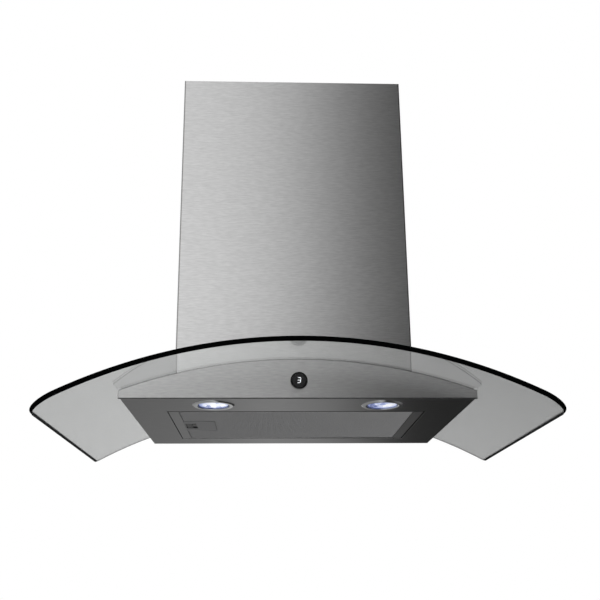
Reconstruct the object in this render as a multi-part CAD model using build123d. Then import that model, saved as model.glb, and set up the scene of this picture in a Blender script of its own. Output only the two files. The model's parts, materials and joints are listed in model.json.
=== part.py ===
from build123d import *
import math
import os

# Wall-mounted chimney hood with a bent glass canopy, 90 cm wide.
# Millimetres. +X is to the right, the front faces -Y and the wall is the plane Y = 0.
# Heights are measured from the flat underside while the pieces are drawn. At export every piece
# is lowered by HANG_HEIGHT, so the origin is the centre of the four wall-screw holes.
HANG_HEIGHT = 220.0

# Glass canopy
GLASS_WIDTH = 900.0
GLASS_DEPTH = 586.0
GLASS_THICK = 8.0
GLASS_RADIUS = 915.0            # radius of the lower surface
CROWN = 73.0                    # height of the lower surface at the middle
GLASS_FRONT_SAG = 3.0           # how far the front edge falls back at the ends
GLASS_FRONT_CORNER = 48.0
GLASS_REAR_CORNER = 10.0
GLASS_REAR_GAP = 2.0            # between the glass and the wall
NOTCH_CLEARANCE = 3.0           # round the fan case
GASKET = 1.5
GASKET_WIDTH = 16.0
AXIS_HEIGHT = CROWN - GLASS_RADIUS
ABOVE = 200.0                   # higher than any part of the canopy

# Steel body under the glass
BODY_WIDTH = 630.0
BODY_DEPTH = 466.0
FASCIA_WIDTH = 638.0
SHEET = 1.2
FLANGE = 10.0

# Grease filter and its opening
OPENING_WIDTH = 490.0
OPENING_FRONT = 360.0           # distances of the opening's edges from the wall
OPENING_REAR = 62.0
FILTER_GAP = 1.5
FILTER_THICK = 8.0
FILTER_END_STRIP = 19.0
FILTER_SIDE_STRIP = 9.0
FILTER_PIVOT_X = 237.0
FILTER_PIVOT_Z = 4.5
PIVOT_RADIUS = 2.0
PIVOT_CLEARANCE = 0.06
PIVOT_DEPTH = 9.0
MESH_INSET = 0.6                # from the frame's faces to the metal mesh
MESH_THICK = 0.8
FILTER_X0 = -OPENING_WIDTH / 2 + FILTER_GAP
FILTER_X1 = OPENING_WIDTH / 2 - 2 * FILTER_GAP
FILTER_Y0 = -OPENING_FRONT + FILTER_GAP
FILTER_Y1 = -OPENING_REAR - FILTER_GAP
FILTER_Z0 = 0.5
FILTER_Z1 = FILTER_Z0 + FILTER_THICK

# Latch of the filter
LATCH_X0 = -226.0
LATCH_X1 = -163.0
LATCH_Y = -208.0
LATCH_WIDTH = 100.0
LATCH_WALL = 2.0
SLOT_X0 = -223.0
SLOT_X1 = -207.0
SLOT_WIDTH = 50.0
BOLT_WIDTH = 24.0
BOLT_Z0 = 2.2
BOLT_Z1 = 5.2
BOLT_CLEARANCE = 0.4
BOLT_TRAVEL = 6.0
BOLT_REACH = 3.5                # over the opening's edge when it is shut
BOLT_TAIL = 12.0

# Lamps
LAMP_X = 154.5
LAMP_Y = -415.0
LAMP_RING_RADIUS = 38.5
LAMP_RING_DROP = 2.4
LAMP_HOLE_RADIUS = 33.0
LAMP_LENS_RADIUS = 28.0
LAMP_BODY_RADIUS = 31.5
LAMP_BODY_TOP = 16.0
LAMP_BOARD_Z = 6.0
LAMP_BOARD_THICK = 1.2
LAMP_BOARD_RADIUS = 29.0
LIGHT_RING_RADIUS = 16.0
LIGHT_SIZE = 3.6
SINK_RIBS = 7
SINK_RIB_PITCH = 7.0
SINK_RIB_THICK = 1.8
CLIP_WIDTH = 12.0
CLIP_THICK = 0.8
CLIP_REACH = 9.0

# Round control in the fascia
CONTROL_Z = 33.0
CONTROL_RADIUS = 15.3
CONTROL_HOLE_RADIUS = 13.5
BUTTON_RADIUS = 12.4
BUTTON_GAP = 0.3
STEM_RADIUS = 3.0
RING_PROUD = 5.0                # in front of the fascia
RING_GROOVES = 24
CUP_RADIUS = 20.0
CUP_WALL = 2.0

# Fan case that passes through the glass
CASE_WIDTH = 440.0
CASE_DEPTH = 168.0
CASE_BOTTOM = 36.0
CASE_TOP = 400.0
CASE_WALL = 1.5
WALL_HOLE_RADIUS = 4.0
WALL_HOLES_X = 360.0
WALL_HOLES_Z = 300.0
CASE_FLANGE = 12.0              # turned in behind the cover
COVER_SCREW_HEIGHTS = (100.0, 240.0, 385.0)
COVER_SCREW_INSET = 7.0
SCREW_RADIUS = 1.9
SCREW_HOLE_RADIUS = 2.3

# Clamps that hold the glass down
CLAMP_WIDTH = 26.0
CLAMP_REACH = 15.0
CLAMP_HEIGHT = 28.0
CLAMP_YS = (-42.0, -128.0)
CLAMP_PAD = 2.0
CLAMP_SCREW_RISE = 17.0
CLAMP_PLATE = 2.0

# Centrifugal fan, its axis along Y
FAN_X = -75.0
FAN_Z = 190.0
WHEEL_RADIUS = 100.0
WHEEL_BACK = -26.0
WHEEL_FRONT = -112.0
WHEEL_RING = 3.0
HUB_FRONT = -84.0
HUB_RADIUS = 12.0
BLADES = 36
BLADE_RADIUS = 16.0
BLADE_THICK = 0.9
SCROLL_RADIUS = 118.0           # first of the scroll's four arcs
SCROLL_STEP = 14.0              # how much each next arc is larger
SCROLL_TONGUE_ANGLE = 65.0
SCROLL_BACK = -3.0
SCROLL_FRONT = -120.0
SCROLL_TOP = 345.0
SCROLL_SHEET = 1.2
INLET_HOLE_RADIUS = 84.0
MOTOR_RADIUS = 46.0
MOTOR_BACK = -12.0
MOTOR_FRONT = -74.0
MOTOR_RIBS = 5
MOTOR_SCREW_CIRCLE = 34.0
SHAFT_RADIUS = 4.0
SHAFT_CLEARANCE = 0.05

# Air outlet and its non-return flaps
OUTLET_X = 0.0
OUTLET_Y = -84.0
OUTLET_RADIUS = 75.0
OUTLET_WALL = 2.0
OUTLET_LENGTH = 62.0
FLAP_Z = CASE_TOP + 26.0
FLAP_RADIUS = 71.0
FLAP_THICK = 1.4
FLAP_DROP = 3.8                 # from the pin's axis to the flap's lower face
FLAP_GAP = 0.6                  # from the pin's axis to each flap's straight edge
LEDGE_GAP = 0.4                 # between the ledge and the closed flaps
LEDGE_THICK = 2.0
LEDGE_WIDTH = 4.0
KNUCKLE_RADIUS = 3.3
FLAP_PIN_RADIUS = 1.5
FLAP_PIN_CLEARANCE = 0.08
FLAP_PIN_REACH = OUTLET_RADIUS - 0.8
FRONT_KNUCKLES = ((-62.0, -34.0), (1.0, 30.0))
REAR_KNUCKLES = ((-30.0, -1.0), (34.0, 62.0))
FLANGE_RADIUS = 89.0
FLANGE_THICK = 2.5

# Electrics
GLAND_X = 165.0
GLAND_Y = -40.0
GLAND_HOLE_RADIUS = 8.0
GLAND_COLLAR_RADIUS = 11.0
GLAND_COLLAR_THICK = 2.5
LEAD_RADIUS = 3.6
BOX_X0, BOX_X1 = 112.0, 212.0
BOX_Y0, BOX_Y1 = -64.0, -CASE_WALL
BOX_Z0, BOX_Z1 = 236.0, 336.0
BOX_WALL = 2.0
BOARD_THICK = 1.6
BOARD_Y = BOX_Y1 - BOX_WALL - 4  # rear face of the power board

# Chimney covers
CHIMNEY_WIDTH = 500.0
CHIMNEY_DEPTH = 212.0
CHIMNEY_TOP = 815.0
COVER_SHEET = 1.2
UPPER_GAP = 0.8
UPPER_SHEET = 1.0
UPPER_BOTTOM = 332.2
UPPER_REAR = -5.0
SLOT_COUNT = 5
SLOT_PITCH = 12.0
SLOT_HEIGHT = 5.0
STOP_Y0, STOP_Y1 = -110.0, -60.0
STOP_THICK = 2.0
STOP_GAP = 0.2
BRACKET_Z = CHIMNEY_TOP - 40
BRACKET_HEIGHT = 30.0
BRACKET_THICK = 2.0
BRACKET_TAB_REACH = 46.0
BRACKET_TAB_GAP = 0.6
BRACKET_SLOT_X = 300.0
BRACKET_SLOT_RADIUS = 3.0
BRACKET_SLOT_LENGTH = 20.0


# ---------------------------------------------------------------- small helpers

def block(x0, x1, y0, y1, z0, z1):
    return Pos((x0 + x1) / 2, (y0 + y1) / 2, (z0 + z1) / 2) * Box(abs(x1 - x0), abs(y1 - y0), abs(z1 - z0))


def rod_y(x, z, y0, y1, radius):
    return Pos(x, (y0 + y1) / 2, z) * Rot(90, 0, 0) * Cylinder(radius, abs(y1 - y0))


def rod_x(y, z, x0, x1, radius):
    return Pos((x0 + x1) / 2, y, z) * Rot(0, 90, 0) * Cylinder(radius, abs(x1 - x0))


def rod_z(x, y, z0, z1, radius):
    return Pos(x, y, (z0 + z1) / 2) * Cylinder(radius, abs(z1 - z0))


def tube_y(x, z, y0, y1, outer, inner):
    return rod_y(x, z, y0, y1, outer) - rod_y(x, z, y0, y1, inner)


def tube_z(x, y, z0, z1, outer, inner):
    return rod_z(x, y, z0, z1, outer) - rod_z(x, y, z0, z1, inner)


def arch_height(x, radius):
    """Height of a cylinder about the glass's own axis, at a distance x from the middle."""
    return AXIS_HEIGHT + math.sqrt(radius * radius - x * x)


def arched_sheet(radius, thick, half_width, y0, y1):
    """Part of a thin tube about the glass's axis, cut off by upright planes."""
    ring = tube_y(0, AXIS_HEIGHT, y0, y1, radius + thick, radius)
    return ring & block(-half_width, half_width, y0, y1, 0, ABOVE)


def under_arch(radius, half_width, y0, y1, z0):
    """Everything above z0 and below a cylinder about the glass's axis."""
    return rod_y(0, AXIS_HEIGHT, y0, y1, radius) & block(-half_width, half_width, y0, y1, z0, ABOVE)


def turned_y(x, z, profile):
    """Solid of revolution about an axis along Y; the profile holds (radius, y) points."""
    face = make_face(Polyline(*[(x + r, y, z) for r, y in profile], close=True))
    return revolve(face, Axis((x, 0, z), (0, 1, 0)), 360)


def turned_z(x, y, profile):
    """Solid of revolution about an upright axis; the profile holds (radius, z) points."""
    face = make_face(Polyline(*[(x + r, y, z) for r, z in profile], close=True))
    return revolve(face, Axis((x, y, 0), (0, 0, 1)), 360)


def around(step_angle, count, piece, x, z):
    """Copies of a piece turned about an axis along Y."""
    axis = Axis((x, 0, z), (0, 1, 0))
    return [piece.rotate(axis, step_angle * i) for i in range(count)]


def lowered(shape):
    return Pos(0, 0, -HANG_HEIGHT) * shape


def save(name, shape):
    export_step(lowered(shape), f"parts/{name}.step")


def save_group(name, shapes):
    """Writes several separate solids as one piece."""
    solids = [lowered(solid) for shape in shapes for solid in shape.solids()]
    export_step(Compound(solids), f"parts/{name}.step")


# ---------------------------------------------------------------- canopy

def canopy_glass():
    """Bent sheet with a notch from its rear edge for the fan case."""
    half = GLASS_WIDTH / 2
    outer = GLASS_RADIUS + GLASS_THICK
    rear = -GLASS_REAR_GAP
    sheet = tube_y(0, AXIS_HEIGHT, -GLASS_DEPTH - 10, 10, outer, GLASS_RADIUS)
    sag_y = -GLASS_DEPTH + GLASS_FRONT_SAG
    front = ThreePointArc((-half, sag_y), (0, -GLASS_DEPTH), (half, sag_y))
    sides = Polyline((half, sag_y), (half, rear), (-half, rear), (-half, sag_y))
    outline = make_face(front + sides)
    front_corners = outline.vertices().sort_by(Axis.Y)[:2]
    outline = fillet(front_corners, GLASS_FRONT_CORNER)
    rear_corners = outline.vertices().sort_by(Axis.Y)[-2:]
    outline = fillet(rear_corners, GLASS_REAR_CORNER)
    sheet &= Pos(0, 0, -100) * extrude(outline, amount=300)
    half_notch = CASE_WIDTH / 2 + NOTCH_CLEARANCE
    return sheet - block(-half_notch, half_notch, -CASE_DEPTH - NOTCH_CLEARANCE, 10, 0, ABOVE)


def glass_gasket():
    """Foam strip round the top of the body, which the glass lies on."""
    y_front, y_rear = -BODY_DEPTH + 2, -GLASS_REAR_GAP
    strip = arched_sheet(GLASS_RADIUS - GASKET, GASKET, BODY_WIDTH / 2 - 2, y_front, y_rear)
    inner = BODY_WIDTH / 2 - GASKET_WIDTH
    strip -= block(-inner, inner, y_front + GASKET_WIDTH, y_rear - GASKET_WIDTH, 0, ABOVE)
    half_notch = CASE_WIDTH / 2 + NOTCH_CLEARANCE
    return strip - block(-half_notch, half_notch, -CASE_DEPTH, 10, 0, ABOVE)


def fascia_panel():
    """Front plate with an arched top edge just under the glass and a round hole for the control."""
    radius = GLASS_RADIUS - 0.3
    plate = under_arch(radius, FASCIA_WIDTH / 2, -BODY_DEPTH, -BODY_DEPTH + SHEET, 0)
    return plate - rod_y(0, CONTROL_Z, -BODY_DEPTH - 5, 0, CONTROL_HOLE_RADIUS)


def body_outline_height():
    return GLASS_RADIUS - GASKET - SHEET


def bottom_panel():
    """Tray: floor with the filter opening and two lamp holes, and walls folded up all round."""
    half = BODY_WIDTH / 2
    y_front = -BODY_DEPTH + SHEET
    y_rear = -SHEET
    tray = block(-half, half, y_front, y_rear, 0, SHEET)
    for y0, y1 in ((y_front, y_front + SHEET), (y_rear - SHEET, y_rear)):
        tray += block(-half, half, y0, y1, 0, FLANGE)
    radius = body_outline_height()
    for side in (-1, 1):
        wall = under_arch(radius, half, y_front, y_rear, 0)
        wall &= block(side * half, side * (half - SHEET), y_front, y_rear, 0, ABOVE)
        tray += wall
    half_open = OPENING_WIDTH / 2
    tray -= block(-half_open, half_open, -OPENING_FRONT, -OPENING_REAR, -1, 5)
    lip = FILTER_THICK + 3
    for y0, y1 in ((-OPENING_FRONT - SHEET, -OPENING_FRONT), (-OPENING_REAR, -OPENING_REAR + SHEET)):
        tray += block(-half_open, half_open, y0, y1, 0, lip)
    for side in (-1, 1):
        tray -= rod_z(side * LAMP_X, LAMP_Y, -1, 5, LAMP_HOLE_RADIUS)
    tray -= rod_y(0, CONTROL_Z, -BODY_DEPTH - 5, -BODY_DEPTH + 20, CONTROL_HOLE_RADIUS + 8)
    return tray


def rear_panel():
    """Back plate of the body, cut away where the fan case stands against the wall."""
    radius = body_outline_height()
    plate = under_arch(radius, BODY_WIDTH / 2, -SHEET, 0, 0)
    return plate - block(-CASE_WIDTH / 2, CASE_WIDTH / 2, -5, 5, CASE_BOTTOM, ABOVE)


def top_sheet():
    """Arched cover of the body, open where the fan case comes through."""
    radius = body_outline_height()
    sheet = arched_sheet(radius, SHEET, BODY_WIDTH / 2, -BODY_DEPTH + SHEET, 0)
    return sheet - block(-CASE_WIDTH / 2, CASE_WIDTH / 2, -CASE_DEPTH, 10, 0, ABOVE)


def clamp_places():
    return [(side, y) for side in (-1, 1) for y in CLAMP_YS]


def clamp_seat():
    """Height of the glass's top surface at the outer end of a clamp."""
    return arch_height(CASE_WIDTH / 2 + NOTCH_CLEARANCE, GLASS_RADIUS + GLASS_THICK)


def glass_clamps():
    """Angles screwed to the sides of the fan case, which hold the glass down."""
    clamps = []
    for side, y in clamp_places():
        x0 = side * CASE_WIDTH / 2
        z0 = clamp_seat() + CLAMP_PAD
        y0, y1 = y - CLAMP_WIDTH / 2, y + CLAMP_WIDTH / 2
        foot = block(x0, x0 + side * CLAMP_REACH, y0, y1, z0, z0 + CLAMP_PLATE)
        web = block(x0, x0 + side * CLAMP_PLATE, y0, y1, z0, z0 + CLAMP_HEIGHT)
        web -= rod_x(y, z0 + CLAMP_SCREW_RISE, x0 - 20, x0 + 20, SCREW_HOLE_RADIUS)
        clamps.append(foot + web)
    return clamps


def clamp_pads():
    """Rubber pads between the clamps and the glass."""
    pads = []
    for side, y in clamp_places():
        x0 = side * (CASE_WIDTH / 2 + 4)
        x1 = side * (CASE_WIDTH / 2 + CLAMP_REACH)
        z1 = clamp_seat() + CLAMP_PAD
        pad = block(x0, x1, y - CLAMP_WIDTH / 2 + 2, y + CLAMP_WIDTH / 2 - 2, z1 - 12, z1)
        pads.append(pad - rod_y(0, AXIS_HEIGHT, -600, 50, GLASS_RADIUS + GLASS_THICK))
    return pads


def pan_screw(length):
    """Screw along -Z with the underside of its head at the origin and a cross recess."""
    head_radius, head_height = 2 * SCREW_RADIUS, 2.2
    screw = rod_z(0, 0, -length, 0, SCREW_RADIUS) + rod_z(0, 0, 0, head_height, head_radius)
    for angle in (0, 90):
        screw -= Rot(0, 0, angle) * block(-head_radius * 0.6, head_radius * 0.6, -0.4, 0.4,
                                          head_height * 0.45, head_height + 1)
    return screw


def clamp_screws():
    screws = []
    for side, y in clamp_places():
        x = side * (CASE_WIDTH / 2 + CLAMP_PLATE)
        z = clamp_seat() + CLAMP_PAD + CLAMP_SCREW_RISE
        screws.append(Pos(x, y, z) * Rot(0, side * 90, 0) * pan_screw(8))
    return screws


# ---------------------------------------------------------------- grease filter and its latch

def latch_pocket():
    """Space of the latch's housing in the filter."""
    half = LATCH_WIDTH / 2
    return block(LATCH_X0, LATCH_X1, LATCH_Y - half, LATCH_Y + half, -5, FILTER_Z1 + 5)


def bolt_way(x0, x1):
    """Room that the bolt slides in."""
    half = BOLT_WIDTH / 2 + BOLT_CLEARANCE
    return block(x0, x1, LATCH_Y - half, LATCH_Y + half, BOLT_Z0 - BOLT_CLEARANCE, BOLT_Z1 + BOLT_CLEARANCE)


def filter_frame():
    """Rolled frame of the filter cassette, with a gap for the latch bolt and two pivot holes."""
    frame = block(FILTER_X0, FILTER_X1, FILTER_Y0, FILTER_Y1, FILTER_Z0, FILTER_Z1)
    frame -= block(FILTER_X0 + FILTER_END_STRIP, FILTER_X1 - FILTER_END_STRIP,
                   FILTER_Y0 + FILTER_SIDE_STRIP, FILTER_Y1 - FILTER_SIDE_STRIP, -5, 20)
    frame -= bolt_way(FILTER_X0 - 5, LATCH_X0 + 1)
    frame -= latch_pocket()
    depth = PIVOT_DEPTH + 3
    for y0, y1 in ((FILTER_Y0 - 1, FILTER_Y0 + depth), (FILTER_Y1 - depth, FILTER_Y1 + 1)):
        frame -= rod_y(FILTER_PIVOT_X, FILTER_PIVOT_Z, y0, y1, PIVOT_RADIUS + PIVOT_CLEARANCE)
    return frame


def filter_sheet(z0, z1):
    """One layer of the filter, inside the frame and round the latch."""
    sheet = block(FILTER_X0 + FILTER_END_STRIP, FILTER_X1 - FILTER_END_STRIP,
                  FILTER_Y0 + FILTER_SIDE_STRIP, FILTER_Y1 - FILTER_SIDE_STRIP, z0, z1)
    return sheet - latch_pocket()


def filter_face_mesh():
    low = FILTER_Z0 + MESH_INSET
    return filter_sheet(low, low + MESH_THICK)


def filter_mesh_pack():
    inset = MESH_INSET + MESH_THICK
    return filter_sheet(FILTER_Z0 + inset, FILTER_Z1 - inset)


def filter_back_mesh():
    high = FILTER_Z1 - MESH_INSET
    return filter_sheet(high - MESH_THICK, high)


def filter_pivots():
    """Two pins from the opening's upturned lips into the end of the filter."""
    pins = []
    for y0, y1 in ((-OPENING_FRONT, FILTER_Y0 + PIVOT_DEPTH), (FILTER_Y1 - PIVOT_DEPTH, -OPENING_REAR)):
        pins.append(rod_y(FILTER_PIVOT_X, FILTER_PIVOT_Z, y0, y1, PIVOT_RADIUS))
    return pins


def latch_housing():
    """Moulded body of the latch, hollow, with a finger slot in its face."""
    half = LATCH_WIDTH / 2
    face = 1.2
    low = FILTER_Z0 + 0.2
    housing = block(LATCH_X0, LATCH_X1, LATCH_Y - half, LATCH_Y + half, low, FILTER_Z1)
    inner = half - LATCH_WALL
    housing -= block(LATCH_X0 + LATCH_WALL, LATCH_X1 - LATCH_WALL, LATCH_Y - inner, LATCH_Y + inner,
                     low + face, FILTER_Z1 - face)
    housing -= block(SLOT_X0, SLOT_X1 + BOLT_TRAVEL, LATCH_Y - SLOT_WIDTH / 2, LATCH_Y + SLOT_WIDTH / 2,
                     FILTER_Z0 - 2, FILTER_Z0 + 3)
    return housing - bolt_way(LATCH_X0 - 1, LATCH_X0 + LATCH_WALL + 1)


def latch_bolt():
    """Sliding bolt with a finger grip that shows in the housing's slot."""
    x_tip = -OPENING_WIDTH / 2 - BOLT_REACH
    half = BOLT_WIDTH / 2
    bolt = block(x_tip, SLOT_X1 + BOLT_TAIL, LATCH_Y - half, LATCH_Y + half, BOLT_Z0, BOLT_Z1)
    grip_half = SLOT_WIDTH / 2 - 1
    grip = block(SLOT_X0 + 2, SLOT_X1 - 3, LATCH_Y - grip_half, LATCH_Y + grip_half, 1.0, BOLT_Z1)
    for i in range(3):
        x = SLOT_X0 + 4.5 + 3.2 * i
        grip -= block(x - 0.6, x + 0.6, LATCH_Y - grip_half - 1, LATCH_Y + grip_half + 1, 0.8, 1.8)
    return bolt + grip


def latch_spring():
    """Coil spring behind the bolt, drawn as its outer sleeve."""
    return rod_x(LATCH_Y, (BOLT_Z0 + BOLT_Z1) / 2, SLOT_X1 + BOLT_TAIL, LATCH_X1 - LATCH_WALL, 1.6)


# ---------------------------------------------------------------- lamps

def lamp_ring(x):
    """Bezel: a sloped flange below the panel and a sleeve through it."""
    profile = [(LAMP_LENS_RADIUS + 0.5, -1.6), (LAMP_LENS_RADIUS + 2.5, -LAMP_RING_DROP),
               (LAMP_RING_RADIUS - 3, -LAMP_RING_DROP), (LAMP_RING_RADIUS, -0.6), (LAMP_RING_RADIUS, 0),
               (LAMP_HOLE_RADIUS - 0.1, 0), (LAMP_HOLE_RADIUS - 0.1, 9), (LAMP_BODY_RADIUS, 9),
               (LAMP_BODY_RADIUS, 0.6), (LAMP_LENS_RADIUS + 0.5, 0.6)]
    return turned_z(x, LAMP_Y, profile)


def lamp_lens(x):
    """Shallow domed lens that drops into the ring."""
    edge, rim = LAMP_LENS_RADIUS + 0.4, LAMP_BODY_RADIUS - 0.3
    profile = [(0, -1.9), (10, -1.7), (20, -1.1), (edge, -0.2), (edge, 0.6), (rim, 0.6), (rim, 2.6), (0, 2.6)]
    return turned_z(x, LAMP_Y, profile)


def lamp_board(x):
    """Round board that carries seven light sources."""
    board = rod_z(x, LAMP_Y, LAMP_BOARD_Z, LAMP_BOARD_Z + LAMP_BOARD_THICK, LAMP_BOARD_RADIUS)
    light = Pos(x, LAMP_Y, LAMP_BOARD_Z - 0.5) * Box(LIGHT_SIZE, LIGHT_SIZE, 1.0)
    board += light
    for i in range(6):
        angle = math.radians(60 * i)
        board += Pos(LIGHT_RING_RADIUS * math.cos(angle), LIGHT_RING_RADIUS * math.sin(angle), 0) * light
    return board


def lamp_heat_sink(x):
    """Cast cup behind the board, with ribs on its back."""
    seat = LAMP_BOARD_Z + LAMP_BOARD_THICK
    sink = rod_z(x, LAMP_Y, 2.6, LAMP_BODY_TOP, LAMP_BODY_RADIUS - 0.2)
    sink -= rod_z(x, LAMP_Y, 2.5, seat, LAMP_BOARD_RADIUS + 0.2)
    for i in range(SINK_RIBS):
        dx = (i - (SINK_RIBS - 1) / 2) * SINK_RIB_PITCH
        length = math.sqrt((LAMP_BODY_RADIUS - 3) ** 2 - dx * dx)
        rib = Box(SINK_RIB_THICK, 2 * length, 7)
        sink += Pos(x + dx, LAMP_Y, LAMP_BODY_TOP + 3.5) * rib
    return sink


def lamp_clips(x):
    """Two leaf clips that press on the inside of the panel."""
    clips = []
    for side in (-1, 1):
        x0 = x + side * (LAMP_HOLE_RADIUS - 0.1)
        x1 = x0 + side * CLIP_REACH
        y0, y1 = LAMP_Y - CLIP_WIDTH / 2, LAMP_Y + CLIP_WIDTH / 2
        foot_z = 2 * SHEET
        web = block(x0, x0 + side * CLIP_THICK, y0, y1, foot_z + CLIP_THICK, 12)
        foot = block(x0, x1, y0, y1, foot_z, foot_z + CLIP_THICK)
        tip = block(x1 - side * CLIP_THICK, x1, y0, y1, SHEET, foot_z)
        clips.append(web + foot + tip)
    return clips


# ---------------------------------------------------------------- control

def selector_ring():
    """Outer ring that turns to choose the fan speed, knurled on its rim."""
    front = -BODY_DEPTH - RING_PROUD
    back = -BODY_DEPTH - 0.3
    bore = BUTTON_RADIUS + BUTTON_GAP
    profile = [(bore, front + 0.6), (bore + 0.6, front), (CONTROL_RADIUS - 0.8, front),
               (CONTROL_RADIUS, front + 0.8), (CONTROL_RADIUS, back), (bore, back)]
    ring = turned_y(0, CONTROL_Z, profile)
    groove = block(CONTROL_RADIUS - 0.35, CONTROL_RADIUS + 1, front + 1.2, -BODY_DEPTH,
                   CONTROL_Z - 0.5, CONTROL_Z + 0.5)
    for cut in around(360 / RING_GROOVES, RING_GROOVES, groove, 0, CONTROL_Z):
        ring -= cut
    return ring


def display_button():
    """Round display window, pressed to switch on and off, on a short stem."""
    front = -BODY_DEPTH - RING_PROUD + 0.6
    window = rod_y(0, CONTROL_Z, front, -BODY_DEPTH + 3, BUTTON_RADIUS)
    return window + rod_y(0, CONTROL_Z, -BODY_DEPTH + 3, -BODY_DEPTH + 9, STEM_RADIUS)


def control_housing():
    """Moulded cup behind the fascia that carries the ring and guides the button."""
    bore = BUTTON_RADIUS + BUTTON_GAP
    front, middle, rear = -BODY_DEPTH + SHEET, -BODY_DEPTH + 3.5, -BODY_DEPTH + 22
    flange = tube_y(0, CONTROL_Z, front, middle, CUP_RADIUS, bore)
    sleeve = tube_y(0, CONTROL_Z, -BODY_DEPTH, front, CONTROL_HOLE_RADIUS - 0.1, bore)
    cup = rod_y(0, CONTROL_Z, middle, rear, CUP_RADIUS)
    cup -= rod_y(0, CONTROL_Z, middle, rear - CUP_WALL, CUP_RADIUS - CUP_WALL)
    return flange + sleeve + cup


def control_board():
    """Round board with the push switch, inside the cup."""
    y0 = -BODY_DEPTH + 13
    board = rod_y(0, CONTROL_Z, y0, y0 + BOARD_THICK, CUP_RADIUS - CUP_WALL - 0.5)
    return board + block(-3, 3, y0 - 2.4, y0, CONTROL_Z - 3, CONTROL_Z + 3)


def button_spring():
    """Coil spring round the button's stem, drawn as its sleeve."""
    return tube_y(0, CONTROL_Z, -BODY_DEPTH + 3, -BODY_DEPTH + 13, 7.0, 5.8)


# ---------------------------------------------------------------- fan case

def wall_hole_places():
    return [(sx * WALL_HOLES_X / 2, HANG_HEIGHT + sz * WALL_HOLES_Z / 2) for sx in (-1, 1) for sz in (-1, 1)]


def cover_screw_places():
    x = CASE_WIDTH / 2 - COVER_SCREW_INSET
    return [(side * x, z) for side in (-1, 1) for z in COVER_SCREW_HEIGHTS]


def fan_case():
    """Sheet box against the wall, open below to the body and in front for its cover."""
    half = CASE_WIDTH / 2
    case = block(-half, half, -CASE_DEPTH + CASE_WALL, 0, CASE_BOTTOM, CASE_TOP)
    inner = half - CASE_WALL
    case -= block(-inner, inner, -CASE_DEPTH - 5, -CASE_WALL, CASE_BOTTOM - 1, CASE_TOP - CASE_WALL)
    for side in (-1, 1):
        case += block(side * inner, side * (inner - CASE_FLANGE), -CASE_DEPTH + CASE_WALL,
                      -CASE_DEPTH + 2 * CASE_WALL, CASE_BOTTOM, CASE_TOP - CASE_WALL)
    case -= rod_z(OUTLET_X, OUTLET_Y, CASE_TOP - 5, CASE_TOP + 5, OUTLET_RADIUS - 3)
    case -= rod_z(GLAND_X, GLAND_Y, CASE_TOP - 5, CASE_TOP + 5, GLAND_HOLE_RADIUS)
    for x, z in wall_hole_places():
        case -= rod_y(x, z, -5, 5, WALL_HOLE_RADIUS)
    for x, z in cover_screw_places():
        case -= rod_y(x, z, -CASE_DEPTH - 5, -CASE_DEPTH + 5, SCREW_HOLE_RADIUS)
    for side, y in clamp_places():
        screw_z = clamp_seat() + CLAMP_PAD + CLAMP_SCREW_RISE
        case -= rod_x(y, screw_z, side * (half - 5), side * (half + 5), SCREW_HOLE_RADIUS)
    return case


def fan_case_cover():
    """Front plate of the fan case."""
    half = CASE_WIDTH / 2
    cover = block(-half, half, -CASE_DEPTH, -CASE_DEPTH + CASE_WALL, CASE_BOTTOM, CASE_TOP)
    for x, z in cover_screw_places():
        cover -= rod_y(x, z, -CASE_DEPTH - 5, -CASE_DEPTH + 5, SCREW_HOLE_RADIUS)
    return cover


def case_cover_screws():
    return [Pos(x, -CASE_DEPTH, z) * Rot(90, 0, 0) * pan_screw(7) for x, z in cover_screw_places()]


# ---------------------------------------------------------------- fan

def scroll_arcs(inset=0.0):
    """Four tangent arcs that open out from the tongue round to the outlet."""
    half = SCROLL_STEP / 2
    corners = ((-half, half), (-half, -half), (half, -half), (half, half))
    arcs = []
    for i, (dx, dz) in enumerate(corners):
        start = SCROLL_TONGUE_ANGLE if i == 0 else 90 * i
        radius = SCROLL_RADIUS + i * SCROLL_STEP - inset
        arcs.append(CenterArc((FAN_X + dx, FAN_Z + dz), radius, start, 90 * (i + 1) - start))
    return arcs


def prism_y(lines, y0, y1):
    """Prism along Y over a closed outline drawn in x and z."""
    return Pos(0, max(y0, y1), 0) * extrude(Plane.XZ * make_face(lines), amount=abs(y1 - y0))


def scroll_prism(y0, y1):
    """Plate over the whole scroll and the way up to its outlet."""
    arcs = scroll_arcs()
    mouth = Polyline(arcs[-1] @ 1, (OUTLET_X + OUTLET_RADIUS, SCROLL_TOP),
                     (OUTLET_X - OUTLET_RADIUS, SCROLL_TOP), arcs[0] @ 0)
    return prism_y(Curve() + arcs + mouth, y0, y1)


def volute_back():
    """Rear plate of the scroll, with a hole for the motor's mount."""
    plate = scroll_prism(SCROLL_BACK, SCROLL_BACK + CASE_WALL)
    return plate - rod_y(FAN_X, FAN_Z, -20, 5, MOTOR_RADIUS)


def volute_front():
    """Front plate of the scroll, with the inlet hole."""
    plate = scroll_prism(SCROLL_FRONT, SCROLL_FRONT - SCROLL_SHEET)
    return plate - rod_y(FAN_X, FAN_Z, SCROLL_FRONT - 5, SCROLL_FRONT + 5, INLET_HOLE_RADIUS)


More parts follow.
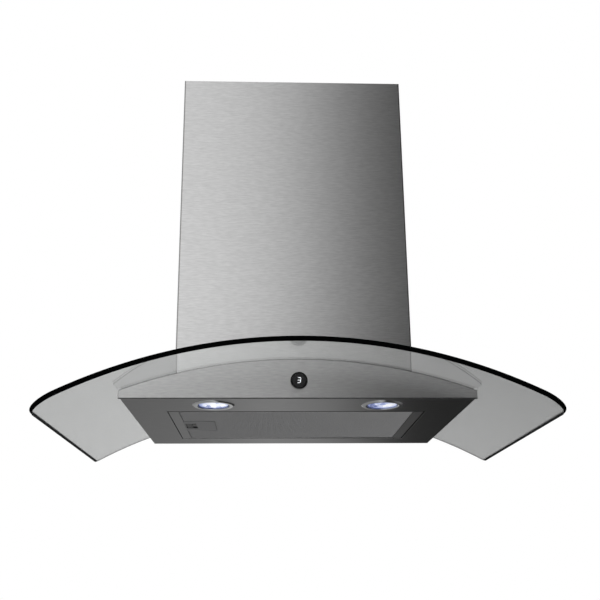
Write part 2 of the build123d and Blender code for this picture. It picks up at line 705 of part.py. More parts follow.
def volute_wrap():
    """Band bent round the scroll between the two plates, open at the outlet."""
    outer, inner = scroll_arcs(), scroll_arcs(SCROLL_SHEET)
    ends = [Line(outer[0] @ 0, inner[0] @ 0), Line(outer[-1] @ 1, inner[-1] @ 1)]
    band = prism_y(Curve() + outer + inner + ends, SCROLL_FRONT, SCROLL_BACK)
    for foot, side in ((outer[0] @ 0, -1), (outer[-1] @ 1, 1)):
        top_x = OUTLET_X + side * OUTLET_RADIUS
        thick = side * 1.4 * SCROLL_SHEET
        foot_z = foot.Y - SCROLL_SHEET
        wall = Polyline((foot.X, foot_z), (top_x, SCROLL_TOP), (top_x - thick, SCROLL_TOP),
                        (foot.X - thick, foot_z), close=True)
        band += prism_y(wall, SCROLL_FRONT, SCROLL_BACK)
    return band


def outlet_duct():
    """Transition from the scroll's rectangular mouth to the round outlet."""
    def funnel(shrink):
        width = 2 * (OUTLET_RADIUS - shrink)
        depth = abs(SCROLL_FRONT - SCROLL_BACK) - 2 * shrink
        low = Pos(OUTLET_X, (SCROLL_FRONT + SCROLL_BACK) / 2, SCROLL_TOP) * Rectangle(width, depth)
        high = Pos(OUTLET_X, OUTLET_Y, CASE_TOP - CASE_WALL) * Circle(OUTLET_RADIUS - 1 - shrink)
        return loft([low.face(), high.face()])
    return funnel(0) - funnel(1.5)


def inlet_ring():
    """Bell-shaped mouth in the scroll's front plate."""
    y = SCROLL_FRONT - SCROLL_SHEET
    profile = [(96, y), (96, y - 1.5), (86, y - 3.5), (80, y + 1), (78.5, y + 8), (80, y + 8), (82.5, y + 2),
               (INLET_HOLE_RADIUS, y)]
    return turned_y(FAN_X, FAN_Z, profile)


def impeller():
    """Forward-curved wheel: a back ring, a hub cup over the motor, blades and a front ring."""
    rim, bore = WHEEL_RADIUS - 1, SHAFT_RADIUS + SHAFT_CLEARANCE
    nose = HUB_FRONT - 10
    cup = [(58, WHEEL_BACK), (rim, WHEEL_BACK), (rim, WHEEL_BACK - 2), (60, WHEEL_BACK - 2),
           (57, HUB_FRONT), (HUB_RADIUS, HUB_FRONT), (HUB_RADIUS, nose), (bore, nose),
           (bore, HUB_FRONT + 2), (55, HUB_FRONT + 2)]
    wheel = turned_y(FAN_X, FAN_Z, cup)
    wheel += tube_y(FAN_X, FAN_Z, WHEEL_FRONT, WHEEL_FRONT + 5, WHEEL_RADIUS, WHEEL_RADIUS - WHEEL_RING)
    blade = tube_y(0, 0, WHEEL_BACK - 1, WHEEL_FRONT + 1, BLADE_RADIUS, BLADE_RADIUS - BLADE_THICK)
    blade &= block(-BLADE_RADIUS, 0, WHEEL_BACK, WHEEL_FRONT, 0, BLADE_RADIUS)
    blade = Pos(FAN_X + WHEEL_RADIUS - 1.5, 0, FAN_Z - 2) * blade
    return wheel + around(360 / BLADES, BLADES, blade, FAN_X, FAN_Z)


def motor_shaft():
    """Shaft from the motor through the wheel's hub, with a nut on its end."""
    shaft = rod_y(FAN_X, FAN_Z, MOTOR_BACK - 10, HUB_FRONT - 18, SHAFT_RADIUS)
    return shaft + rod_y(FAN_X, FAN_Z, HUB_FRONT - 10.2, HUB_FRONT - 16, 7.0)


def motor_body():
    """Motor can inside the wheel, with ribs round its middle and a running hole for the shaft."""
    can = rod_y(FAN_X, FAN_Z, MOTOR_BACK, MOTOR_FRONT, MOTOR_RADIUS)
    for i in range(MOTOR_RIBS):
        y = MOTOR_BACK - 8 - 9 * i
        can -= tube_y(FAN_X, FAN_Z, y, y - 4, MOTOR_RADIUS + 1, MOTOR_RADIUS - 1.5)
    can += rod_y(FAN_X, FAN_Z, MOTOR_FRONT, MOTOR_FRONT - 5, 15.0)
    return can - rod_y(FAN_X, FAN_Z, MOTOR_BACK - 6, HUB_FRONT - 1, SHAFT_RADIUS + SHAFT_CLEARANCE)


def motor_mount():
    """Disc on three lugs that bolts the motor to the back of the fan case."""
    mount = rod_y(FAN_X, FAN_Z, -5, MOTOR_BACK, MOTOR_RADIUS - 6)
    mount += rod_y(FAN_X, FAN_Z, -CASE_WALL, -5, MOTOR_RADIUS - 1)
    for hole in motor_screw_holes(2.6, -CASE_WALL + 1, -20):
        mount -= hole
    return mount


def motor_screw_holes(radius, y0, y1):
    return around(120, 3, rod_y(FAN_X + MOTOR_SCREW_CIRCLE, FAN_Z, y0, y1, radius), FAN_X, FAN_Z)


def motor_rings():
    """Rubber rings between the motor and its mount's screws."""
    ring = tube_y(FAN_X + MOTOR_SCREW_CIRCLE, FAN_Z, -CASE_WALL - 1, -6.0, 2.5, 1.4)
    return around(120, 3, ring, FAN_X, FAN_Z)


# ---------------------------------------------------------------- outlet and flaps

def outlet_collar():
    """Round spigot for the duct, with a ledge inside that the flaps close on."""
    inner = OUTLET_RADIUS - OUTLET_WALL
    foot = CASE_TOP + FLANGE_THICK
    collar = tube_z(OUTLET_X, OUTLET_Y, foot, CASE_TOP + OUTLET_LENGTH, OUTLET_RADIUS, inner)
    ledge_top = FLAP_Z - FLAP_DROP - LEDGE_GAP
    collar += tube_z(OUTLET_X, OUTLET_Y, ledge_top - LEDGE_THICK, ledge_top, inner + 0.5, inner - LEDGE_WIDTH)
    return collar - damper_pin()


def outlet_flange():
    """Ring on the fan case that the spigot stands on."""
    hole = OUTLET_RADIUS - OUTLET_WALL
    return tube_z(OUTLET_X, OUTLET_Y, CASE_TOP, CASE_TOP + FLANGE_THICK, FLANGE_RADIUS, hole)


def damper_pin():
    """Cross pin, its ends in blind holes of the spigot's wall."""
    return rod_x(OUTLET_Y, FLAP_Z, -FLAP_PIN_REACH, FLAP_PIN_REACH, FLAP_PIN_RADIUS)


def damper_flap(side, knuckles):
    """Half disc that hangs from the cross pin; side is -1 for the front half and 1 for the rear."""
    z0 = FLAP_Z - FLAP_DROP
    edge_y = OUTLET_Y + side * FLAP_GAP
    disc = rod_z(OUTLET_X, OUTLET_Y, z0, z0 + FLAP_THICK, FLAP_RADIUS)
    half = disc & block(-100, 100, edge_y, OUTLET_Y + side * 100, z0 - 1, z0 + 5)
    for x0, x1 in knuckles:
        half += rod_x(OUTLET_Y, FLAP_Z, x0, x1, KNUCKLE_RADIUS)
        half += block(x0, x1, edge_y, OUTLET_Y + side * (KNUCKLE_RADIUS - 0.1), z0, FLAP_Z)
    return half - rod_x(OUTLET_Y, FLAP_Z, -100, 100, FLAP_PIN_RADIUS + FLAP_PIN_CLEARANCE)


def flap_relief(flap, side, knuckles):
    """Clears room in one flap's plate for the other flap's knuckles."""
    for x0, x1 in knuckles:
        flap -= block(x0 - 0.6, x1 + 0.6, OUTLET_Y, OUTLET_Y + side * 4.6, FLAP_Z - 6, FLAP_Z + 6)
    return flap


# ---------------------------------------------------------------- electrics

def control_box():
    """Moulded box for the electrics, open towards the front."""
    box = block(BOX_X0, BOX_X1, BOX_Y0, BOX_Y1, BOX_Z0, BOX_Z1)
    box -= block(BOX_X0 + BOX_WALL, BOX_X1 - BOX_WALL, BOX_Y0 - 1, BOX_Y1 - BOX_WALL,
                 BOX_Z0 + BOX_WALL, BOX_Z1 - BOX_WALL)
    return box - rod_z(BOX_X0 + 20, -30, BOX_Z1 - 5, BOX_Z1 + 5, 5)


def control_box_lid():
    lid = block(BOX_X0, BOX_X1, BOX_Y0 - BOX_WALL, BOX_Y0, BOX_Z0, BOX_Z1)
    outer, inner = BOX_WALL + 0.2, 2 * BOX_WALL
    rim = block(BOX_X0 + outer, BOX_X1 - outer, BOX_Y0, BOX_Y0 + 3, BOX_Z0 + outer, BOX_Z1 - outer)
    rim -= block(BOX_X0 + inner, BOX_X1 - inner, BOX_Y0 - 1, BOX_Y0 + 4, BOX_Z0 + inner, BOX_Z1 - inner)
    return lid + rim


def power_board():
    """Circuit board with a transformer, two relays and a terminal block."""
    face = BOARD_Y - BOARD_THICK
    board = block(BOX_X0 + 6, BOX_X1 - 6, face, BOARD_Y, BOX_Z0 + 8, BOX_Z1 - 8)
    transformer = block(BOX_X0 + 10, BOX_X0 + 44, BOARD_Y - 30, face, BOX_Z0 + 46, BOX_Z0 + 76)
    relay = block(BOX_X0 + 52, BOX_X0 + 70, BOARD_Y - 17, face, BOX_Z0 + 46, BOX_Z0 + 60)
    terminals = block(BOX_X0 + 74, BOX_X0 + 88, BOARD_Y - 14, face, BOX_Z0 + 14, BOX_Z0 + 80)
    board += transformer + relay + Pos(0, 0, 18) * relay + terminals
    for x in (BOX_X0 + 12, BOX_X1 - 12):
        board += rod_y(x, BOX_Z0 + 14, BOARD_Y, BOX_Y1 - BOX_WALL, 3)
    return board


def motor_capacitor():
    """Run capacitor, lying below the transformer."""
    y = BOARD_Y - BOARD_THICK - 16
    z = BOX_Z0 + 26
    return rod_x(y, z, BOX_X0 + 10, BOX_X0 + 62, 14) + rod_x(y, z, BOX_X0 + 62, BOX_X0 + 68, 4)


def cable_gland():
    """Gland in the top of the fan case, where the mains lead comes out."""
    collar_top = CASE_TOP + GLAND_COLLAR_THICK
    gland = rod_z(GLAND_X, GLAND_Y, CASE_TOP - 6, CASE_TOP + 12, GLAND_HOLE_RADIUS - 0.1)
    gland += Pos(GLAND_X, GLAND_Y, collar_top) * extrude(RegularPolygon(12, 6), amount=5)
    for z0, z1 in ((CASE_TOP, collar_top), (CASE_TOP - 6, CASE_TOP - CASE_WALL)):
        gland += rod_z(GLAND_X, GLAND_Y, z0, z1, GLAND_COLLAR_RADIUS)
    return gland - rod_z(GLAND_X, GLAND_Y, CASE_TOP - 10, CASE_TOP + 20, LEAD_RADIUS)


# ---------------------------------------------------------------- chimney

def chimney_shell(width, depth, rear, sheet, z0, z1):
    """U-shaped cover: a front and two sides, open to the wall."""
    half = width / 2
    outer = block(-half, half, -depth, rear, z0, z1)
    return outer - block(-half + sheet, half - sheet, -depth + sheet, rear + 10, z0 - 1, z1 + 1)


def lower_cover():
    """Visible cover, its lower edge shaped to stand on the glass."""
    shell = chimney_shell(CHIMNEY_WIDTH, CHIMNEY_DEPTH, 0, COVER_SHEET, 20, CHIMNEY_TOP)
    return shell - rod_y(0, AXIS_HEIGHT, -600, 50, GLASS_RADIUS + GLASS_THICK + 0.2)


def upper_cover():
    """Telescopic cover, pushed down inside the lower one, with air slots near its top."""
    inset = COVER_SHEET + UPPER_GAP
    shell = chimney_shell(CHIMNEY_WIDTH - 2 * inset, CHIMNEY_DEPTH - inset, UPPER_REAR, UPPER_SHEET,
                          UPPER_BOTTOM, CHIMNEY_TOP - 2)
    for i in range(SLOT_COUNT):
        z = CHIMNEY_TOP - 90 + SLOT_PITCH * i
        shell -= block(-CHIMNEY_WIDTH, CHIMNEY_WIDTH, -140, -50, z, z + SLOT_HEIGHT)
    return shell


def cover_stops():
    """Angles on the sides of the fan case that the upper cover rests on."""
    stops = []
    reach = CHIMNEY_WIDTH / 2 - COVER_SHEET - UPPER_GAP - UPPER_SHEET / 2
    top = UPPER_BOTTOM - STOP_GAP
    for side in (-1, 1):
        x0 = side * CASE_WIDTH / 2
        ledge = block(x0, side * reach, STOP_Y0, STOP_Y1, top - STOP_THICK, top)
        web = block(x0, x0 + side * STOP_THICK, STOP_Y0, STOP_Y1, UPPER_BOTTOM - 24, top)
        stops.append(ledge + web)
    return stops


def chimney_bracket():
    """Strip across the wall near the top, with a tab turned forward inside each side of the cover."""
    half = CHIMNEY_WIDTH / 2 - COVER_SHEET
    top = BRACKET_Z + BRACKET_HEIGHT
    strip = block(-half, half, -BRACKET_THICK, 0, BRACKET_Z, top)
    tab_x = half - UPPER_GAP - UPPER_SHEET - BRACKET_TAB_GAP
    middle = BRACKET_Z + BRACKET_HEIGHT / 2
    reach = BRACKET_SLOT_LENGTH / 2 - BRACKET_SLOT_RADIUS
    for side in (-1, 1):
        strip += block(side * tab_x, side * (tab_x - BRACKET_THICK), -BRACKET_TAB_REACH, -BRACKET_THICK,
                       BRACKET_Z, top)
        x = side * BRACKET_SLOT_X / 2
        strip -= block(x - reach, x + reach, -5, 5, middle - BRACKET_SLOT_RADIUS,
                       middle + BRACKET_SLOT_RADIUS)
        for end in (-1, 1):
            strip -= rod_y(x + end * reach, middle, -5, 5, BRACKET_SLOT_RADIUS)
    return strip


# ---------------------------------------------------------------- writing every piece

def main():
    os.makedirs("parts", exist_ok=True)
    save("canopy_glass", canopy_glass())
    save("glass_gasket", glass_gasket())
    save("fascia_panel", fascia_panel())
    save("bottom_panel", bottom_panel())
    save("rear_panel", rear_panel())
    save("top_sheet", top_sheet())
    save_group("glass_clamps", glass_clamps())
    save_group("clamp_pads", clamp_pads())
    save_group("clamp_screws", clamp_screws())

    save("filter_frame", filter_frame())
    save("filter_face_mesh", filter_face_mesh())
    save("filter_mesh_pack", filter_mesh_pack())
    save("filter_back_mesh", filter_back_mesh())
    save_group("filter_pivots", filter_pivots())
    save("latch_housing", latch_housing())
    save("latch_bolt", latch_bolt())
    save("latch_spring", latch_spring())

    for name, x in (("left", -LAMP_X), ("right", LAMP_X)):
        save(f"{name}_lamp_ring", lamp_ring(x))
        save(f"{name}_lamp_lens", lamp_lens(x))
        save(f"{name}_lamp_board", lamp_board(x))
        save(f"{name}_lamp_heat_sink", lamp_heat_sink(x))
        save_group(f"{name}_lamp_clips", lamp_clips(x))

    save("selector_ring", selector_ring())
    save("display_button", display_button())
    save("control_housing", control_housing())
    save("control_board", control_board())
    save("button_spring", button_spring())

    save("fan_case", fan_case())
    save("fan_case_cover", fan_case_cover())
    save_group("case_cover_screws", case_cover_screws())
    save("volute_back", volute_back())
    save("volute_front", volute_front())
    save("volute_wrap", volute_wrap())
    save("outlet_duct", outlet_duct())
    save("inlet_ring", inlet_ring())
    save("impeller", impeller())
    save("motor_shaft", motor_shaft())
    save("motor_body", motor_body())
    save("motor_mount", motor_mount())
    save_group("motor_rings", motor_rings())

    save("outlet_collar", outlet_collar())
    save("outlet_flange", outlet_flange())
    save("damper_pin", damper_pin())
    save("front_damper_flap", flap_relief(damper_flap(-1, FRONT_KNUCKLES), -1, REAR_KNUCKLES))
    save("rear_damper_flap", flap_relief(damper_flap(1, REAR_KNUCKLES), 1, FRONT_KNUCKLES))

    save("control_box", control_box())
    save("control_box_lid", control_box_lid())
    save("power_board", power_board())
    save("motor_capacitor", motor_capacitor())
    save("cable_gland", cable_gland())

    save("lower_cover", lower_cover())
    save("upper_cover", upper_cover())
    save_group("cover_stops", cover_stops())
    save("chimney_bracket", chimney_bracket())


main()
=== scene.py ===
import bmesh
import bpy
import json
import math
from mathutils import Matrix, Vector

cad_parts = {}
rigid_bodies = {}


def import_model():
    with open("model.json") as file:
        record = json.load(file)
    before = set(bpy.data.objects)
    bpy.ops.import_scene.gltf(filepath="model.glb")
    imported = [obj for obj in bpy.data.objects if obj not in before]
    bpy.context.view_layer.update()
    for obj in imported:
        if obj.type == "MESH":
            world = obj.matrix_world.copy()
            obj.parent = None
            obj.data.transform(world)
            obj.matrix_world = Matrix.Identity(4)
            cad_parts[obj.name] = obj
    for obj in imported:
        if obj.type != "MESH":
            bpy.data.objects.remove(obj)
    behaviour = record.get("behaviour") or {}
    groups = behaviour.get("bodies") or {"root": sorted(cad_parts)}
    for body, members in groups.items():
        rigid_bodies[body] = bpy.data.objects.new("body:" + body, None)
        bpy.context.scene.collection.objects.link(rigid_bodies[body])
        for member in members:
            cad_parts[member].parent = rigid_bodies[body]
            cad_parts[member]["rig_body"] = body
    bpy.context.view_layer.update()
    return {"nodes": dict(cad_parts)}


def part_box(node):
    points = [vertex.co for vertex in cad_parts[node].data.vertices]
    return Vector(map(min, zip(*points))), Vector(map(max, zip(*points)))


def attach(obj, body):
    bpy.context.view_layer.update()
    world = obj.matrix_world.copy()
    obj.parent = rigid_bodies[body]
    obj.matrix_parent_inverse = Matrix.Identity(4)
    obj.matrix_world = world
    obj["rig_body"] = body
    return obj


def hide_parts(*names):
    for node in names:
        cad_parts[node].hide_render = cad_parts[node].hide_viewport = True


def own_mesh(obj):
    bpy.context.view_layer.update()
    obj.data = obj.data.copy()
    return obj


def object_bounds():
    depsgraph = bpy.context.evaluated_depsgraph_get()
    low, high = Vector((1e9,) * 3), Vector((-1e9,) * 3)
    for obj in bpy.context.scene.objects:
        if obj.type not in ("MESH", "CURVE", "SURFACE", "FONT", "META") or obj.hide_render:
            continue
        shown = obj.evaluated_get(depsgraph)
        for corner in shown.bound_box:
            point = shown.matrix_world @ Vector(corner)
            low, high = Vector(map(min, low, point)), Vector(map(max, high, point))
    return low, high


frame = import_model()
NODES = frame["nodes"]
MM = 0.001

# Heights in the frame are measured from the wall holes; the flat underside lies at this height.
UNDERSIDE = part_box("bottom_panel")[0].z


# ---------------------------------------------------------------- camera

CAMERA_PLACE = Vector((-0.055, -1.898, UNDERSIDE - 0.324))
CAMERA_PITCH = math.radians(16.25)
CAMERA_YAW = math.radians(2.29)
CAMERA_ROLL = math.radians(-0.52)
CAMERA_LENS = 49.7
CAMERA_SHIFT_Y = 0.08
CAMERA_CLIP = (0.05, 100)


def make_camera():
    data = bpy.data.cameras.new("camera")
    data.lens = CAMERA_LENS
    data.shift_y = CAMERA_SHIFT_Y
    data.clip_start, data.clip_end = CAMERA_CLIP
    camera = bpy.data.objects.new("camera", data)
    bpy.context.scene.collection.objects.link(camera)
    turn = Matrix.Rotation(-CAMERA_YAW, 4, "Z") @ Matrix.Rotation(math.pi / 2 + CAMERA_PITCH, 4, "X")
    turn = turn @ Matrix.Rotation(CAMERA_ROLL, 4, "Z")
    camera.matrix_world = Matrix.Translation(CAMERA_PLACE) @ turn
    bpy.context.scene.camera = camera


# ---------------------------------------------------------------- node helpers

class Shader:
    """A material with its Principled shader and short ways to add texture nodes."""

    def __init__(self, name, colour, roughness, metallic=0.0):
        self.material = bpy.data.materials.new(name)
        self.material.use_nodes = True
        self.tree = self.material.node_tree
        self.main = self.tree.nodes["Principled BSDF"]
        self.material.diffuse_color = (*colour, 1)
        self.set("Base Color", (*colour, 1))
        self.set("Roughness", roughness)
        self.set("Metallic", metallic)
        self.colour = colour
        self.place = self.node("ShaderNodeTexCoord").outputs["Object"]

    def node(self, kind, **settings):
        made = self.tree.nodes.new(kind)
        for key, value in settings.items():
            setattr(made, key, value)
        return made

    def set(self, socket, value):
        self.main.inputs[socket].default_value = value

    def link(self, source, target):
        self.tree.links.new(source, target)

    def stretched(self, scale):
        mapping = self.node("ShaderNodeMapping")
        mapping.inputs["Scale"].default_value = scale
        self.link(self.place, mapping.inputs["Vector"])
        return mapping.outputs["Vector"]

    def noise(self, scale, detail=3.0, rough=0.6, distortion=0.0):
        """Noise whose scale may differ along X, Y and Z."""
        texture = self.node("ShaderNodeTexNoise")
        texture.inputs["Scale"].default_value = 1.0
        texture.inputs["Detail"].default_value = detail
        texture.inputs["Roughness"].default_value = rough
        texture.inputs["Distortion"].default_value = distortion
        self.link(self.stretched(scale), texture.inputs["Vector"])
        return texture.outputs["Fac"]

    def cells(self, scale, feature="F1"):
        texture = self.node("ShaderNodeTexVoronoi", feature=feature)
        texture.inputs["Scale"].default_value = 1.0
        self.link(self.stretched(scale), texture.inputs["Vector"])
        return texture.outputs

    def spread(self, source, low, high, from_low=0.3, from_high=0.7):
        ranged = self.node("ShaderNodeMapRange")
        ranged.inputs["From Min"].default_value = from_low
        ranged.inputs["From Max"].default_value = from_high
        ranged.inputs["To Min"].default_value = low
        ranged.inputs["To Max"].default_value = high
        self.link(source, ranged.inputs["Value"])
        return ranged.outputs["Result"]

    def tint(self, source, dark, light):
        """Base colour between two shades by a texture."""
        ramp = self.node("ShaderNodeValToRGB")
        fill_ramp(ramp, ((0.3, dark), (0.7, light)))
        self.link(source, ramp.inputs["Fac"])
        self.link(ramp.outputs["Color"], self.main.inputs["Base Color"])

    def bump(self, source, strength, distance):
        bump = self.node("ShaderNodeBump")
        bump.inputs["Strength"].default_value = strength
        bump.inputs["Distance"].default_value = distance
        self.link(source, bump.inputs["Height"])
        self.link(bump.outputs["Normal"], self.main.inputs["Normal"])


def shade(colour, factor):
    return tuple(min(1.0, c * factor) for c in colour)


def with_specular(material, level):
    """A plastic or rubber with a weaker mirror reflection."""
    material.node_tree.nodes["Principled BSDF"].inputs["Specular IOR Level"].default_value = level
    return material


def fill_ramp(ramp, stops):
    """Sets a colour ramp's stops, each a position from 0 to 1 and a colour."""
    elements = ramp.color_ramp.elements
    while len(elements) < len(stops):
        elements.new(0.5)
    for element, (position, colour) in zip(elements, stops):
        element.position = position
        element.color = (*colour, 1)


# ---------------------------------------------------------------- materials

def brushed_steel(name, colour, roughness=0.30, level=False, anisotropic=0.85, contrast=0.12):
    """Stainless steel with short fine scratches that run level, on a level sheet along X."""
    s = Shader(name, colour, roughness, 1.0)
    fine = s.noise((60.0, 2200.0 if level else 60.0, 2200.0), detail=3.0, rough=0.6)
    coarse = s.noise((60.0, 420.0 if level else 60.0, 420.0), detail=2.0, rough=0.5)
    both = s.node("ShaderNodeMix", data_type="FLOAT")
    both.inputs["Factor"].default_value = 0.6
    s.link(fine, both.inputs["A"])
    s.link(coarse, both.inputs["B"])
    streaks = both.outputs["Result"]
    s.tint(streaks, shade(colour, 1 - contrast), shade(colour, 1 + contrast))
    s.link(s.spread(fine, roughness * 0.95, roughness * 1.05), s.main.inputs["Roughness"])
    s.bump(fine, 0.06, 0.00002)
    s.set("Anisotropic", anisotropic)
    s.set("Anisotropic Rotation", 0.25)
    direction = s.node("ShaderNodeTangent", direction_type="RADIAL", axis="Y" if level else "Z")
    s.link(direction.outputs["Tangent"], s.main.inputs["Tangent"])
    return s.material


def zinc_sheet(name, colour=(0.60, 0.62, 0.64)):
    """Galvanised sheet with faint crystal flakes."""
    s = Shader(name, colour, 0.42, 0.9)
    flakes = s.cells((90, 90, 90))
    s.tint(flakes["Color"], shade(colour, 0.91), shade(colour, 1.08))
    s.link(s.spread(flakes["Color"], 0.34, 0.5, 0, 1), s.main.inputs["Roughness"])
    s.bump(s.noise((300, 300, 300)), 0.05, 0.0002)
    return s.material


def turned_metal(name, colour, roughness=0.25):
    """Machined or plated metal with fine tool marks."""
    s = Shader(name, colour, roughness, 1.0)
    marks = s.noise((900, 900, 2500), detail=3.0)
    s.tint(marks, shade(colour, 0.88), shade(colour, 1.08))
    s.link(s.spread(marks, roughness * 0.8, roughness * 1.3), s.main.inputs["Roughness"])
    s.bump(marks, 0.06, 0.00005)
    return s.material


def cast_metal(name, colour):
    s = Shader(name, colour, 0.5, 0.9)
    grain = s.noise((700, 700, 700), detail=5.0)
    s.tint(grain, shade(colour, 0.8), shade(colour, 1.1))
    s.link(s.spread(grain, 0.42, 0.62), s.main.inputs["Roughness"])
    s.bump(grain, 0.25, 0.0002)
    return s.material


def moulded_plastic(name, colour, roughness=0.5, grain=900.0, height=0.0001):
    """Moulded plastic with a fine spark-eroded grain."""
    s = Shader(name, colour, roughness)
    fine = s.noise((grain, grain, grain), detail=4.0)
    broad = s.noise((14, 14, 14), detail=2.0)
    s.tint(broad, shade(colour, 0.9), shade(colour, 1.1))
    s.link(s.spread(fine, roughness * 0.85, roughness * 1.15), s.main.inputs["Roughness"])
    s.bump(fine, 0.25, height)
    return s.material


def soft_rubber(name, colour=(0.02, 0.02, 0.021)):
    s = Shader(name, colour, 0.75)
    pores = s.noise((1500, 1500, 1500), detail=5.0)
    s.tint(pores, shade(colour, 0.7), shade(colour, 1.5))
    s.link(s.spread(pores, 0.65, 0.85), s.main.inputs["Roughness"])
    s.bump(pores, 0.4, 0.0002)
    return s.material


def clear_glass(name):
    """Float glass with a faint green body colour."""
    colour = (0.97, 0.985, 0.978)
    s = Shader(name, colour, 0.0)
    s.set("IOR", 1.5)
    s.set("Transmission Weight", 1.0)
    haze = s.noise((3, 3, 3), detail=2.0)
    s.link(s.spread(haze, 0.0, 0.012), s.main.inputs["Roughness"])
    s.tint(haze, shade(colour, 0.99), shade(colour, 1.01))
    return s.material


def glass_edge(name, colour):
    """Ground edge of the glass in a dark colour, without gloss."""
    s = Shader(name, colour, 0.3)
    ground = s.noise((400, 400, 400), detail=3.0)
    s.tint(ground, shade(colour, 0.6), shade(colour, 1.6))
    s.link(s.spread(ground, 0.22, 0.38), s.main.inputs["Roughness"])
    s.set("Specular IOR Level", 0.0)
    return s.material


def circuit_board(name, colour=(0.02, 0.16, 0.06)):
    s = Shader(name, colour, 0.35)
    tracks = s.cells((260, 260, 260), "DISTANCE_TO_EDGE")
    s.tint(s.spread(tracks["Distance"], 0, 1, 0.0, 0.08), shade(colour, 2.2), colour)
    s.bump(tracks["Distance"], 0.2, 0.0002)
    return s.material


GLOW_STOPS = ((0.1, (0.01, 0.02, 0.07)), (0.28, (0.07, 0.10, 0.30)), (0.46, (0.44, 0.50, 0.74)),
              (0.85, (1.0, 1.0, 1.0)))
GLOW_REACH = (0.3, 1.35)        # where the glow starts and ends to fall, in lens radii
GLOW_STRENGTH = 0.86


def glowing(name, centre, radius):
    """Lens lit from behind: white in the middle, blue towards the rim, split into small cells."""
    s = Shader(name, (0.04, 0.06, 0.14), 0.12)
    facets = s.cells((120, 70, 120))
    offset = s.node("ShaderNodeVectorMath", operation="DISTANCE")
    offset.inputs[1].default_value = centre
    s.link(s.place, offset.inputs[0])
    fall = s.spread(offset.outputs["Value"], 1.0, 0.05, GLOW_REACH[0] * radius, GLOW_REACH[1] * radius)
    patch = s.spread(facets["Color"], 0.3, 1.3, 0, 1)
    product = s.node("ShaderNodeMath", operation="MULTIPLY")
    s.link(fall, product.inputs[0])
    s.link(patch, product.inputs[1])
    ramp = s.node("ShaderNodeValToRGB")
    fill_ramp(ramp, GLOW_STOPS)
    s.link(product.outputs["Value"], ramp.inputs["Fac"])
    s.link(ramp.outputs["Color"], s.main.inputs["Emission Color"])
    s.set("Emission Strength", GLOW_STRENGTH)
    s.bump(facets["Distance"], 0.5, 0.001)
    return s.material


# ---------------------------------------------------------------- mesh helpers

def finished(mesh, angle=30):
    mesh.shade_smooth()
    mesh.set_sharp_from_angle(angle=math.radians(angle))


def piece(name, mesh, body, materials, slot, *stands_for):
    """Puts a new mesh on a body and hides the nodes that it stands for; slot is not used."""
    thing = bpy.data.objects.new(name, mesh)
    bpy.context.scene.collection.objects.link(thing)
    for material in materials:
        mesh.materials.append(material)
    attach(thing, body)
    if stands_for:
        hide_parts(*stands_for)
    return thing


def applied(mesh, *modifiers):
    """The mesh after modifiers, each given as (kind, settings)."""
    thing = bpy.data.objects.new("scratch", mesh)
    bpy.context.scene.collection.objects.link(thing)
    for kind, settings in modifiers:
        modifier = thing.modifiers.new(kind, kind)
        for key, value in settings.items():
            setattr(modifier, key, value)
    bpy.context.view_layer.update()
    evaluated = thing.evaluated_get(bpy.context.evaluated_depsgraph_get())
    result = bpy.data.meshes.new_from_object(evaluated)
    bpy.data.objects.remove(thing)
    return result


def bevel(width, segments=2, angle=35, material=-1):
    return ("BEVEL", {"width": width, "segments": segments, "limit_method": "ANGLE",
                      "angle_limit": math.radians(angle), "use_clamp_overlap": True, "material": material})


FLAT_NORMALS = ("WEIGHTED_NORMAL", {"mode": "FACE_AREA", "weight": 100, "keep_sharp": True})
ARCH_CUTS = 8
ARCH_SAG = (0.004 * MM, 0.8 * MM)
MERGE_DISTANCE = 0.001 * MM
FLAT_ANGLE = math.radians(0.3)


def smooth_arches(shape):
    """Splits the chords of arcs about the glass's axis and puts the new points on the arc."""
    axis_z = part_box("canopy_glass")[1].z - GLASS_TOP_RADIUS

    def reach(point):
        return math.hypot(point.x, point.z - axis_z)

    chords = {}
    for edge in shape.edges:
        first, second = (vert.co for vert in edge.verts)
        sag = reach(first) - reach((first + second) / 2)
        if abs(reach(first) - reach(second)) < 0.01 * MM and ARCH_SAG[0] < sag < ARCH_SAG[1]:
            chords[edge] = reach(first)
    for edge, radius in chords.items():
        known = set(edge.verts)
        made = bmesh.ops.subdivide_edges(shape, edges=[edge], cuts=ARCH_CUTS)["geom_inner"]
        for vert in (g for g in made if isinstance(g, bmesh.types.BMVert) and g not in known):
            out = radius / reach(vert.co)
            vert.co.x *= out
            vert.co.z = axis_z + (vert.co.z - axis_z) * out


def clean_copy(node):
    """The CAD mesh with its doubled points joined, its flat faces made whole and its arches smooth."""
    mesh = NODES[node].data.copy()
    mesh.materials.clear()
    shape = bmesh.new()
    shape.from_mesh(mesh)
    bmesh.ops.remove_doubles(shape, verts=shape.verts, dist=MERGE_DISTANCE)
    bmesh.ops.dissolve_limit(shape, angle_limit=FLAT_ANGLE, verts=shape.verts, edges=shape.edges)
    smooth_arches(shape)
    shape.to_mesh(mesh)
    shape.free()
    return mesh


def strip_beyond(mesh, planes):
    """Cuts a mesh along planes, each a point and a direction, and refinishes what lies beyond them all."""
    shape = bmesh.new()
    shape.from_mesh(mesh)
    for place, outward in planes:
        whole = shape.verts[:] + shape.edges[:] + shape.faces[:]
        bmesh.ops.bisect_plane(shape, geom=whole, plane_co=place, plane_no=outward)
    for face in shape.faces:
        middle = face.calc_center_median()
        if all((middle - Vector(place)).dot(Vector(outward)) > 0 for place, outward in planes):
            face.material_index = 1
    shape.to_mesh(mesh)
    shape.free()


